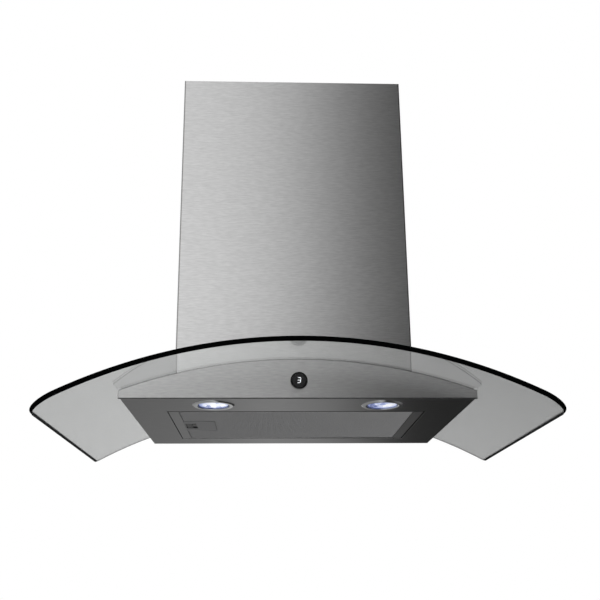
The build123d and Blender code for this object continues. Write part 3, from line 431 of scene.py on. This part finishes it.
def edged(node, width, material, slot, segments=2, edge=None, strips=()):
    """A piece with the CAD node's shape and slightly rounded edges; edge is their finish and the strips'."""
    mesh = clean_copy(node)
    mesh.shade_smooth()
    mesh.materials.append(material)
    if edge:
        mesh.materials.append(edge)
    for planes in strips:
        strip_beyond(mesh, planes)
    mesh = applied(mesh, bevel(width, segments, material=1 if edge else -1), FLAT_NORMALS)
    return piece(node + "_finished", mesh, NODES[node]["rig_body"], [], slot, node)


def dressed(node, material):
    """A CAD node that keeps its shape and gets a finish."""
    data = NODES[node].data
    data.materials.clear()
    data.materials.append(material)
    data.shade_smooth()
    data.set_sharp_from_angle(angle=math.radians(30))


# ---------------------------------------------------------------- springs

SPRING_STEPS = 20
SPRING_WIRE_SIDES = 8
SPRING_LOOK_AHEAD = 0.01        # of a turn, to find the wire's direction
SPRING_SHARP = 60
LATCH_WIRE = 0.5 * MM
LATCH_TURNS = 14
BUTTON_WIRE = 0.9 * MM
BUTTON_TURNS = 5


def coil(node, axis, turns, wire):
    """Round wire wound inside a node's box about X, 0, or Y, 1, with its end turns closed."""
    low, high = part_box(node)
    centre = (low + high) / 2
    across, up = (axis + 1) % 3, (axis + 2) % 3
    radius = (high[across] - low[across] - wire) / 2
    free = high[axis] - low[axis] - wire

    def place(turn):
        if turn < 1:
            run = turn * wire
        elif turn > turns - 1:
            run = free - (turns - turn) * wire
        else:
            run = wire + (free - 2 * wire) * (turn - 1) / (turns - 2)
        point = centre.copy()
        point[axis] = low[axis] + wire / 2 + run
        point[across] += radius * math.cos(2 * math.pi * turn)
        point[up] += radius * math.sin(2 * math.pi * turn)
        return point

    shape = bmesh.new()
    rings = []
    for step in range(turns * SPRING_STEPS + 1):
        turn = step / SPRING_STEPS
        middle = place(turn)
        outward = middle - centre
        outward[axis] = 0
        outward.normalize()
        ahead = place(min(turn + SPRING_LOOK_AHEAD, turns)) - place(max(turn - SPRING_LOOK_AHEAD, 0))
        beside = ahead.normalized().cross(outward)
        turns_round = [2 * math.pi * i / SPRING_WIRE_SIDES for i in range(SPRING_WIRE_SIDES)]
        rings.append([shape.verts.new(middle + wire / 2 * (math.cos(t) * outward + math.sin(t) * beside))
                      for t in turns_round])
    for first, second in zip(rings, rings[1:]):
        for i in range(SPRING_WIRE_SIDES):
            j = (i + 1) % SPRING_WIRE_SIDES
            shape.faces.new((first[i], first[j], second[j], second[i]))
    shape.faces.new(rings[0])
    shape.faces.new(rings[-1])
    bmesh.ops.recalc_face_normals(shape, faces=shape.faces)
    mesh = bpy.data.meshes.new(node)
    shape.to_mesh(mesh)
    shape.free()
    finished(mesh, SPRING_SHARP)
    return mesh


def sprung(node, axis, turns, wire, material):
    """A coil spring wound in the node's box and put on the node's body."""
    spring = piece(node + "_coil", coil(node, axis, turns, wire), NODES[node]["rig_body"], [material],
                   "spring_steel", node)
    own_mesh(spring)


# ---------------------------------------------------------------- glass canopy

GLASS_TOP_RADIUS = 923 * MM
GLASS_THICK = 8 * MM
GLASS_FRONT_CORNER = 48 * MM
GLASS_REAR_CORNER = 10 * MM
GLASS_FRONT_SAG = 3 * MM
NOTCH_CLEARANCE = 3 * MM
GLASS_ROUNDING = 3.4 * MM
GLASS_REAR_ROUNDING = 0.6 * MM
GLASS_FRONT_BAND = 6 * MM
GLASS_SIDE_SHADE_BAND = 4.5 * MM
CORNER_STEPS = 14
SPAN_STEPS = 72
CLEAR, SIDE_SHADE, FRONT_EDGE = range(3)


def glass_surface():
    """Upper surface of the glass as columns across its width, with a dark band and the rear notch."""
    low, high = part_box("canopy_glass")
    half, front, rear = high.x, low.y, high.y
    case_low, case_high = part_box("fan_case")
    notch_half = case_high.x + NOTCH_CLEARANCE
    notch_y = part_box("fan_case_cover")[0].y - NOTCH_CLEARANCE
    axis_z = high.z - GLASS_TOP_RADIUS
    sag_radius = (half ** 2 + GLASS_FRONT_SAG ** 2) / (2 * GLASS_FRONT_SAG)

    def front_edge(x):
        return front + sag_radius - math.sqrt(sag_radius ** 2 - x * x)

    corner_x = half - GLASS_FRONT_CORNER
    corner_y = front_edge(corner_x) + GLASS_FRONT_CORNER

    def front_y(x):
        if abs(x) <= corner_x:
            return front_edge(x)
        return corner_y - math.sqrt(max(0, GLASS_FRONT_CORNER ** 2 - (abs(x) - corner_x) ** 2))

    def rear_y(x):
        over = max(0, abs(x) - (half - GLASS_REAR_CORNER))
        return rear - GLASS_REAR_CORNER + math.sqrt(max(0, GLASS_REAR_CORNER ** 2 - over * over))

    turns = [math.pi / 2 * i / CORNER_STEPS for i in range(1, CORNER_STEPS + 1)]
    columns = {round(-corner_x + 2 * corner_x * i / SPAN_STEPS, 6) for i in range(SPAN_STEPS + 1)}
    for side in (-1, 1):
        columns |= {round(side * (corner_x + GLASS_FRONT_CORNER * math.sin(t)), 6) for t in turns}
        columns |= {round(side * (half - GLASS_REAR_CORNER * (1 - math.sin(t))), 6) for t in turns}
        columns.add(round(side * (half - GLASS_SIDE_SHADE_BAND), 6))
        columns.add(round(side * notch_half, 6))
    shape = bmesh.new()
    made = []
    for x in sorted(columns):
        z = axis_z + math.sqrt(GLASS_TOP_RADIUS ** 2 - x * x)
        ys = [front_y(x), front_y(x) + GLASS_FRONT_BAND, notch_y]
        ys += [rear_y(x)] if abs(x) >= notch_half - 1e-5 else []
        made.append([shape.verts.new((x, y, z)) for y in ys])
    for left, right in zip(made, made[1:]):
        for row in range(min(len(left), len(right)) - 1):
            face = shape.faces.new((left[row], right[row], right[row + 1], left[row + 1]))
            # Faces along each side get the dark side finish: painted shade for the dark rim that refraction
            # shows there.
            beside = abs(left[row].co.x + right[row].co.x) / 2 > half - GLASS_SIDE_SHADE_BAND
            face.material_index = FRONT_EDGE if row == 0 else SIDE_SHADE if beside else CLEAR
    bmesh.ops.remove_doubles(shape, verts=shape.verts, dist=5e-6)
    mesh = bpy.data.meshes.new("glass")
    shape.to_mesh(mesh)
    shape.free()
    return mesh


def round_glass_edges(mesh):
    """Polishes the front and side edges round and only breaks the corners of the rear ones."""
    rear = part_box("canopy_glass")[1].y - GLASS_REAR_CORNER
    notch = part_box("fan_case")[1].x + 2 * NOTCH_CLEARANCE
    shape = bmesh.new()
    shape.from_mesh(mesh)
    polished, plain = [], []
    for edge in shape.edges:
        if len(edge.link_faces) == 2 and edge.calc_face_angle() > math.radians(50):
            middle = (edge.verts[0].co + edge.verts[1].co) / 2
            behind = middle.y > rear or abs(middle.x) < notch and middle.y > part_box("fan_case")[0].y - 0.01
            (plain if behind else polished).append(edge)
    for edges, width, segments in ((polished, GLASS_ROUNDING, 5), (plain, GLASS_REAR_ROUNDING, 2)):
        live = [edge for edge in edges if edge.is_valid]
        bmesh.ops.bevel(shape, geom=live, offset=width, segments=segments, profile=0.5, affect="EDGES",
                        material=-1)
    shape.to_mesh(mesh)
    shape.free()


def make_glass():
    solidify = ("SOLIDIFY", {"thickness": GLASS_THICK, "offset": -1.0, "use_even_offset": True,
                             "material_offset_rim": 1})
    sheet = glass_surface()
    sheet.materials.append(clear_glass("canopy glass"))
    # The side bands and the rims beside clear glass get this dark finish: painted shade for the dark rim that
    # refraction shows.
    sheet.materials.append(glass_edge("glass side edge painted shade", (0.022, 0.023, 0.023)))
    sheet.materials.append(glass_edge("glass front edge", (0.0012, 0.0014, 0.0014)))
    mesh = applied(sheet, solidify)
    round_glass_edges(mesh)
    mesh.shade_smooth()
    mesh = applied(mesh, FLAT_NORMALS)
    piece("glass_canopy", mesh, "hood", [], "clear_glass", "canopy_glass")


# ---------------------------------------------------------------- steel pieces

CHIMNEY_STEEL = (0.635, 0.635, 0.635)
# The fascia and the underside are the chimney's brushed steel in darker tones: painted shade.
FASCIA_SHADED_STEEL = (0.34, 0.34, 0.34)
UNDERSIDE_SHADED_STEEL = (0.265, 0.265, 0.265)
# Darker steel on the lower cover's rounded edges and front corner strips: a painted dark reflection along the
# bends.
BEND_REFLECTION_STEEL = (0.29, 0.29, 0.29)
BEND_REFLECTION_STRIP = 2.8 * MM
# Near-black steel on the fascia's rounded edges and on a strip along its bottom fold: a painted shadow line.
SHADOW_LINE_STEEL = (0.06, 0.06, 0.06)
FOLD_SHADOW_STRIP = 2.2 * MM


def make_steel():
    # The lower cover's rounded edges and front corner strips get a darker copy of its steel: painted dark
    # reflection along the bends.
    low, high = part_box("lower_cover")
    front = ((0, low.y + BEND_REFLECTION_STRIP, 0), (0, -1, 0))
    left, right = low.x + BEND_REFLECTION_STRIP, high.x - BEND_REFLECTION_STRIP
    edged("lower_cover", 0.5 * MM, brushed_steel("chimney steel", CHIMNEY_STEEL), "chimney_steel",
          edge=brushed_steel("painted bend reflection", BEND_REFLECTION_STEEL),
          strips=[[front, ((left, 0, 0), (-1, 0, 0))], [front, ((right, 0, 0), (1, 0, 0))]])
    edged("upper_cover", 0.35 * MM, brushed_steel("upper chimney steel", CHIMNEY_STEEL), "chimney_steel")
    # The fascia's rounded edges and the strip along its bottom fold are near-black steel: a painted shadow
    # line round the fascia.
    shadow_line = brushed_steel("painted shadow line", SHADOW_LINE_STEEL, 0.5)
    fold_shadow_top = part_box("fascia_panel")[0] + Vector((0, 0, FOLD_SHADOW_STRIP))
    # The fascia's steel is darker than the chimney's: painted shade.
    edged("fascia_panel", 0.55 * MM, brushed_steel("fascia steel with painted shade", FASCIA_SHADED_STEEL), "fascia_steel",
          edge=shadow_line, strips=[[(fold_shadow_top, (0, 0, -1))]])
    # The underside's steel is darker than the chimney's: painted shade on the face turned down.
    edged("bottom_panel", 0.3 * MM, brushed_steel("underside steel with painted shade", UNDERSIDE_SHADED_STEEL, level=True),
          "underside_steel")
    inner = brushed_steel("inner steel", (0.34, 0.34, 0.35), 0.4)
    edged("rear_panel", 0.3 * MM, inner, "inner_steel")
    edged("top_sheet", 0.2 * MM, inner, "inner_steel")
    zinc = zinc_sheet("zinc sheet")
    for node in ("fan_case", "fan_case_cover", "chimney_bracket", "glass_clamps", "cover_stops"):
        edged(node, 0.3 * MM, zinc, "zinc_steel")
    for node in ("volute_back", "volute_front", "volute_wrap", "motor_mount"):
        dressed(node, zinc)
    screw = turned_metal("screw steel", (0.55, 0.55, 0.54))
    for node in ("case_cover_screws", "clamp_screws", "filter_pivots"):
        dressed(node, screw)


# ---------------------------------------------------------------- filter

MESH_CELL_X = 5 * MM
MESH_CELL_Y = 2.6 * MM
BACK_MESH_CELLS = 2.4           # times the front mesh's cells
MESH_PLAY = 0.02 * MM
# Widths of the near-black bands on the filter frame: painted shade of the gap between filter and opening.
FRONT_GAP_SHADE = 5 * MM
REAR_GAP_SHADE = 3.5 * MM
END_GAP_SHADE = 1.5 * MM


def diamond_mesh(node, cell_x, cell_y, strand):
    """Expanded metal: a lattice of diamonds over a node's area, cut clear of the latch."""
    low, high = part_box(node)
    latch_low, latch_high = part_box("latch_housing")
    columns = int((high.x - low.x - strand) / cell_x)
    rows = int((high.y - low.y - strand) / cell_y)
    step_x = (high.x - low.x - strand) / columns
    step_y = (high.y - low.y - strand) / rows
    z = (low.z + high.z) / 2
    shape = bmesh.new()
    points = {}

    def point(i, j):
        """Grid point counted in half cells."""
        if (i, j) not in points:
            x = low.x + strand / 2 + i * step_x / 2
            y = low.y + strand / 2 + j * step_y / 2
            points[i, j] = shape.verts.new((x, y, z))
        return points[i, j]

    for i in range(2 * columns + 1):
        for j in range(2 * rows + 1):
            if (i + j) % 2 == 0:
                continue
            ring = [(i - 1, j), (i, j - 1), (i + 1, j), (i, j + 1)]
            if any(not (0 <= a <= 2 * columns and 0 <= b <= 2 * rows) for a, b in ring):
                continue
            x = low.x + strand / 2 + i * step_x / 2
            y = low.y + strand / 2 + j * step_y / 2
            if x < latch_high.x + cell_x / 2 and latch_low.y - cell_y / 2 < y < latch_high.y + cell_y / 2:
                continue
            shape.faces.new([point(a, b) for a, b in ring])
    mesh = bpy.data.meshes.new(node)
    shape.to_mesh(mesh)
    shape.free()
    return applied(mesh, ("WIREFRAME", {"thickness": strand, "use_even_offset": False,
                                        "use_boundary": True, "use_replace": True}))


def make_filter():
    frame_steel = brushed_steel("filter frame steel", (0.255, 0.255, 0.255), 0.4, level=True)
    # The frame's rounded edges, its front and rear strips and its ends are near black: painted shade of the
    # gap round the filter.
    gap_shade = with_specular(soft_rubber("filter gap painted shade", (0.006, 0.006, 0.006)), 0.1)
    low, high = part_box("filter_frame")
    front, rear = low.y + FRONT_GAP_SHADE, high.y - REAR_GAP_SHADE
    rim = edged("filter_frame", 0.8 * MM, frame_steel, "filter_steel", edge=gap_shade,
                strips=[[((0, front, 0), (0, -1, 0))], [((0, rear, 0), (0, 1, 0))]])
    for face in rim.data.polygons:
        if low.x + END_GAP_SHADE < face.center.x < high.x - END_GAP_SHADE and front < face.center.y < rear:
            face.material_index = 0
    mesh_metal = turned_metal("filter mesh aluminium", (0.277, 0.277, 0.279), 0.6)
    for node, cells in (("filter_face_mesh", 1.0), ("filter_back_mesh", BACK_MESH_CELLS)):
        low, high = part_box(node)
        strand = high.z - low.z - MESH_PLAY
        mesh = diamond_mesh(node, MESH_CELL_X * cells, MESH_CELL_Y * cells, strand)
        finished(mesh)
        piece(node + "_expanded", mesh, "filter", [mesh_metal], "filter_mesh", node)
    dressed("filter_mesh_pack", cast_metal("filter wool", (0.19, 0.19, 0.19)))
    edged("latch_housing", 0.35 * MM, moulded_plastic("latch plastic", (0.105, 0.105, 0.108), 0.45),
          "latch_plastic")
    edged("latch_bolt", 0.3 * MM, moulded_plastic("bolt plastic", (0.02, 0.02, 0.02), 0.4), "black_plastic")
    sprung("latch_spring", 0, LATCH_TURNS, LATCH_WIRE,
           turned_metal("spring steel", (0.45, 0.45, 0.45)))


# ---------------------------------------------------------------- lamps

LENS_RINGS = 7
LENS_SIDES = 48
LENS_MARGIN = 4.4 * MM
LENS_EDGE_RISE = 1.7 * MM
LENS_FACET_DIP = 0.25 * MM
LENS_TOP_PLAY = 0.2 * MM
LENS_SHARP = 1


def faceted_lens(node):
    """Lens as a shallow dome of staggered facets over the CAD lens's outline."""
    low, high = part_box(node)
    centre = (low + high) / 2
    outer = (high.x - low.x) / 2 - LENS_MARGIN
    edge_z = low.z + LENS_EDGE_RISE
    shape = bmesh.new()
    tip = shape.verts.new((centre.x, centre.y, low.z))
    rings = []
    for r in range(1, LENS_RINGS + 1):
        share = r / LENS_RINGS
        radius = outer * share
        z = low.z + (edge_z - low.z) * share ** 2
        dip = LENS_FACET_DIP if r % 2 else 0.0
        turn = math.pi / LENS_SIDES * (r % 2)
        rings.append([shape.verts.new((centre.x + radius * math.cos(2 * math.pi * i / LENS_SIDES + turn),
                                       centre.y + radius * math.sin(2 * math.pi * i / LENS_SIDES + turn),
                                       z + dip)) for i in range(LENS_SIDES)])
    top = [shape.verts.new((v.co.x, v.co.y, high.z - LENS_TOP_PLAY)) for v in rings[-1]]
    for i in range(LENS_SIDES):
        j = (i + 1) % LENS_SIDES
        shape.faces.new((tip, rings[0][j], rings[0][i]))
        for a, b in zip(rings, rings[1:]):
            shape.faces.new((a[i], a[j], b[j], b[i]))
        shape.faces.new((rings[-1][i], rings[-1][j], top[j], top[i]))
    shape.faces.new(top)
    bmesh.ops.recalc_face_normals(shape, faces=shape.faces)
    mesh = bpy.data.meshes.new(node)
    shape.to_mesh(mesh)
    shape.free()
    finished(mesh, LENS_SHARP)
    return mesh


def make_lamps():
    chrome = turned_metal("lamp chrome", (0.60, 0.61, 0.61), 0.14)
    clip = turned_metal("clip steel", (0.5, 0.5, 0.5))
    sink = cast_metal("cast aluminium", (0.5, 0.5, 0.51))
    board = moulded_plastic("lamp board", (0.75, 0.77, 0.8), 0.4)
    for side in ("left", "right"):
        lens = side + "_lamp_lens"
        low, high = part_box(lens)
        centre = (low + high) / 2
        radius = (high.x - low.x) / 2
        glow = glowing(side + " lamp glow", (centre.x + radius / 7, centre.y - radius / 5, low.z), radius)
        piece(lens + "_faceted", faceted_lens(lens), "hood", [glow], "lamp_lens", lens)
        dressed(side + "_lamp_ring", chrome)
        dressed(side + "_lamp_clips", clip)
        dressed(side + "_lamp_heat_sink", sink)
        dressed(side + "_lamp_board", board)


# ---------------------------------------------------------------- round control

DIGIT_HEIGHT = 10.4 * MM
DIGIT_WIDTH = 6.2 * MM
DIGIT_STROKE = 0.8 * MM
DIGIT_GAP = 0.18 * MM
DIGIT_SLANT = 0.12
DIGIT_RELIEF = 0.02 * MM
DIGIT_THICK = 0.25 * MM


def digit_three():
    """A 3 of a seven-part display: three level bars and two upright ones, leaning a little."""
    low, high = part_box("display_button")
    cx, cz = (low.x + high.x) / 2, (low.z + high.z) / 2
    half_w, half_h, t = DIGIT_WIDTH / 2, DIGIT_HEIGHT / 2, DIGIT_STROKE / 2
    level = [(-half_w + t, z, half_w - t, z) for z in (-half_h + t, 0, half_h - t)]
    upright = [(half_w - t, -half_h + t, half_w - t, 0), (half_w - t, 0, half_w - t, half_h - t)]
    shape = bmesh.new()
    for x0, z0, x1, z1 in level + upright:
        along = Vector((x1 - x0, z1 - z0)).normalized()
        side = Vector((-along.y, along.x))
        start, end = Vector((x0, z0)) + along * DIGIT_GAP, Vector((x1, z1)) - along * DIGIT_GAP
        outline = [start, start + along * t + side * t, end - along * t + side * t,
                   end, end - along * t - side * t, start + along * t - side * t]
        rows = []
        for y in (low.y - DIGIT_RELIEF, low.y + DIGIT_THICK):
            rows.append([shape.verts.new((cx + p.x + DIGIT_SLANT * p.y, y, cz + p.y)) for p in outline])
        shape.faces.new(rows[0])
        shape.faces.new(list(reversed(rows[1])))
        for i in range(len(outline)):
            j = (i + 1) % len(outline)
            shape.faces.new((rows[0][j], rows[0][i], rows[1][i], rows[1][j]))
    bmesh.ops.recalc_face_normals(shape, faces=shape.faces)
    mesh = bpy.data.meshes.new("digit")
    shape.to_mesh(mesh)
    shape.free()
    return mesh


def lit_digit_material():
    s = Shader("lit digit", (0.9, 0.92, 0.95), 0.4)
    glow = s.noise((900, 900, 900), detail=2.0)
    ramp = s.node("ShaderNodeValToRGB")
    fill_ramp(ramp, ((0.0, (0.72, 0.76, 0.80)), (1.0, (1.0, 1.0, 1.0))))
    s.link(glow, ramp.inputs["Fac"])
    s.link(ramp.outputs["Color"], s.main.inputs["Emission Color"])
    s.set("Emission Strength", 1.1)
    return s.material


def make_control():
    satin = with_specular(moulded_plastic("satin black", (0.004, 0.004, 0.004), 0.3), 0.15)
    edged("selector_ring", 0.25 * MM, satin, "black_satin")
    window = moulded_plastic("display window", (0.012, 0.012, 0.013), 0.16, 1500.0, 0.00001)
    window = with_specular(window, 0.3)
    edged("display_button", 0.5 * MM, window, "black_gloss", 3)
    piece("digit_three", digit_three(), "button", [lit_digit_material()], "black_gloss")
    dressed("control_housing", moulded_plastic("cup plastic", (0.03, 0.03, 0.03)))
    dressed("control_board", circuit_board("control board"))
    sprung("button_spring", 1, BUTTON_TURNS, BUTTON_WIRE,
           turned_metal("button spring steel", (0.5, 0.5, 0.5)))


# ---------------------------------------------------------------- fan, outlet and electrics

def make_inside():
    grey = moulded_plastic("grey plastic", (0.16, 0.165, 0.17), 0.5)
    for node in ("outlet_collar", "outlet_flange", "outlet_duct", "inlet_ring", "front_damper_flap",
                 "rear_damper_flap"):
        dressed(node, grey)
    dressed("impeller", moulded_plastic("wheel plastic", (0.05, 0.05, 0.055), 0.45))
    shaft = turned_metal("shaft steel", (0.6, 0.6, 0.6), 0.2)
    dressed("motor_shaft", shaft)
    dressed("damper_pin", shaft)
    dressed("motor_body", cast_metal("motor aluminium", (0.5, 0.5, 0.51)))
    black = moulded_plastic("black plastic", (0.022, 0.022, 0.023), 0.45)
    for node in ("control_box", "control_box_lid", "cable_gland"):
        dressed(node, black)
    dressed("power_board", circuit_board("power board"))
    dressed("motor_capacitor", moulded_plastic("capacitor case", (0.7, 0.7, 0.68), 0.4))
    rubber = soft_rubber("black rubber")
    for node in ("motor_rings", "clamp_pads"):
        dressed(node, rubber)
    dressed("glass_gasket", soft_rubber("gasket foam", (0.028, 0.028, 0.028)))


# ---------------------------------------------------------------- stage and light

FLOOR_DROP = 0.75
FLOOR_RADIUS = 14.0
FLOOR_SIDES = 120
SUN_STRENGTH = 1.4
SUN_SIZE = math.radians(40)
SUN_TURN = (math.radians(28), math.radians(-18), 0)


def make_floor():
    mesh = bpy.data.meshes.new("floor")
    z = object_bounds()[0].z - FLOOR_DROP
    turns = [2 * math.pi * i / FLOOR_SIDES for i in range(FLOOR_SIDES)]
    rim = [(FLOOR_RADIUS * math.cos(turn), FLOOR_RADIUS * math.sin(turn), z) for turn in turns]
    mesh.from_pydata(rim, [], [tuple(range(FLOOR_SIDES))])
    floor = bpy.data.objects.new("floor", mesh)
    bpy.context.scene.collection.objects.link(floor)
    s = Shader("pale floor", (0.86, 0.86, 0.86), 0.8)
    s.tint(s.noise((2, 2, 2)), (0.94, 0.94, 0.94), (0.97, 0.97, 0.97))
    mesh.materials.append(s.material)
    floor.visible_glossy = False


def ramp_node(tree, stops):
    """Grey ramp over -1 to 1, its stops given as (place, brightness before the studio's strength)."""
    ranged = tree.nodes.new("ShaderNodeMapRange")
    ranged.inputs["From Min"].default_value = -1
    ramp = tree.nodes.new("ShaderNodeValToRGB")
    tree.links.new(ranged.outputs["Result"], ramp.inputs["Fac"])
    fill_ramp(ramp, [((place + 1) / 2, (bright / STUDIO_STRENGTH,) * 3) for place, bright in stops])
    return ranged.inputs["Value"], ramp.outputs["Color"]


# What the studio's front and back reflect, above and below the horizon, from the left, -1, to the right, 1.
FRONT_HIGH_STOPS = ((-1, 0.5), (-0.3, 0.97), (-0.1, 0.95), (0.0, 0.78), (0.06, 0.4), (0.12, 0.03), (0.2, 0.0),
                    (0.4, 0.01), (0.6, 0.3), (1, 0.5))
FRONT_LOW_STOPS = ((-1, 0.6), (-0.3, 2.1), (-0.1, 2.3), (0.0, 2.2), (0.12, 2.0), (0.16, 0.9), (0.19, 0.1),
                   (0.3, 0.03), (0.6, 0.3), (1, 0.6))
BACK_LOW_STOPS = ((-1, 0.5), (-0.2, 0.3), (-0.08, 0.38), (0.0, 0.62), (0.08, 0.45), (0.16, 0.03), (0.4, 0.05),
                  (0.6, 0.3), (1, 0.5))
BACK_HIGH_STOPS = ((-1, 0.5), (-0.25, 0.37), (0.0, 0.38), (0.2, 0.17), (0.45, 0.19), (1, 0.4))
STUDIO_STRENGTH = 2.4
FRONT_HORIZON = (-0.22, -0.02)
BACK_HORIZON = (-0.08, 0.08)
FRONT_TO_BACK = (-0.3, 0.3)


def make_world():
    """White backdrop; what the object reflects is a studio that is bright on the left."""
    world = bpy.data.worlds.new("studio")
    bpy.context.scene.world = world
    world.use_nodes = True
    tree = world.node_tree
    tree.nodes.clear()
    place = tree.nodes.new("ShaderNodeTexCoord")
    split = tree.nodes.new("ShaderNodeSeparateXYZ")
    tree.links.new(place.outputs["Generated"], split.inputs["Vector"])

    def across(stops):
        source, colour = ramp_node(tree, stops)
        tree.links.new(split.outputs["X"], source)
        return colour

    def blend(axis, span, first, second):
        ranged = tree.nodes.new("ShaderNodeMapRange")
        ranged.interpolation_type = "SMOOTHSTEP"
        ranged.inputs["From Min"].default_value = span[0]
        ranged.inputs["From Max"].default_value = span[1]
        tree.links.new(split.outputs[axis], ranged.inputs["Value"])
        mix = tree.nodes.new("ShaderNodeMix")
        mix.data_type = "RGBA"
        tree.links.new(ranged.outputs["Result"], mix.inputs["Factor"])
        colours = [socket for socket in mix.inputs if socket.type == "RGBA"]
        tree.links.new(first, colours[0])
        tree.links.new(second, colours[1])
        return next(socket for socket in mix.outputs if socket.type == "RGBA")

    front = blend("Z", FRONT_HORIZON, across(FRONT_LOW_STOPS), across(FRONT_HIGH_STOPS))
    back = blend("Z", BACK_HORIZON, across(BACK_LOW_STOPS), across(BACK_HIGH_STOPS))
    studio = blend("Y", FRONT_TO_BACK, front, back)
    seen = tree.nodes.new("ShaderNodeBackground")
    seen.inputs["Color"].default_value = (1, 1, 1, 1)
    lit = tree.nodes.new("ShaderNodeBackground")
    lit.inputs["Strength"].default_value = STUDIO_STRENGTH
    tree.links.new(studio, lit.inputs["Color"])
    rays = tree.nodes.new("ShaderNodeLightPath")
    choose = tree.nodes.new("ShaderNodeMixShader")
    tree.links.new(rays.outputs["Is Camera Ray"], choose.inputs["Fac"])
    tree.links.new(lit.outputs["Background"], choose.inputs[1])
    tree.links.new(seen.outputs["Background"], choose.inputs[2])
    out = tree.nodes.new("ShaderNodeOutputWorld")
    tree.links.new(choose.outputs["Shader"], out.inputs["Surface"])


def make_lights():
    data = bpy.data.lights.new("overhead", "SUN")
    data.energy = SUN_STRENGTH
    data.angle = SUN_SIZE
    sun = bpy.data.objects.new("overhead", data)
    sun.rotation_euler = SUN_TURN
    sun.visible_glossy = False
    bpy.context.scene.collection.objects.link(sun)


make_camera()
make_floor()
make_world()
make_lights()
make_glass()
make_steel()
make_filter()
make_lamps()
make_control()
make_inside()
bpy.context.scene.view_settings.view_transform = "Standard"
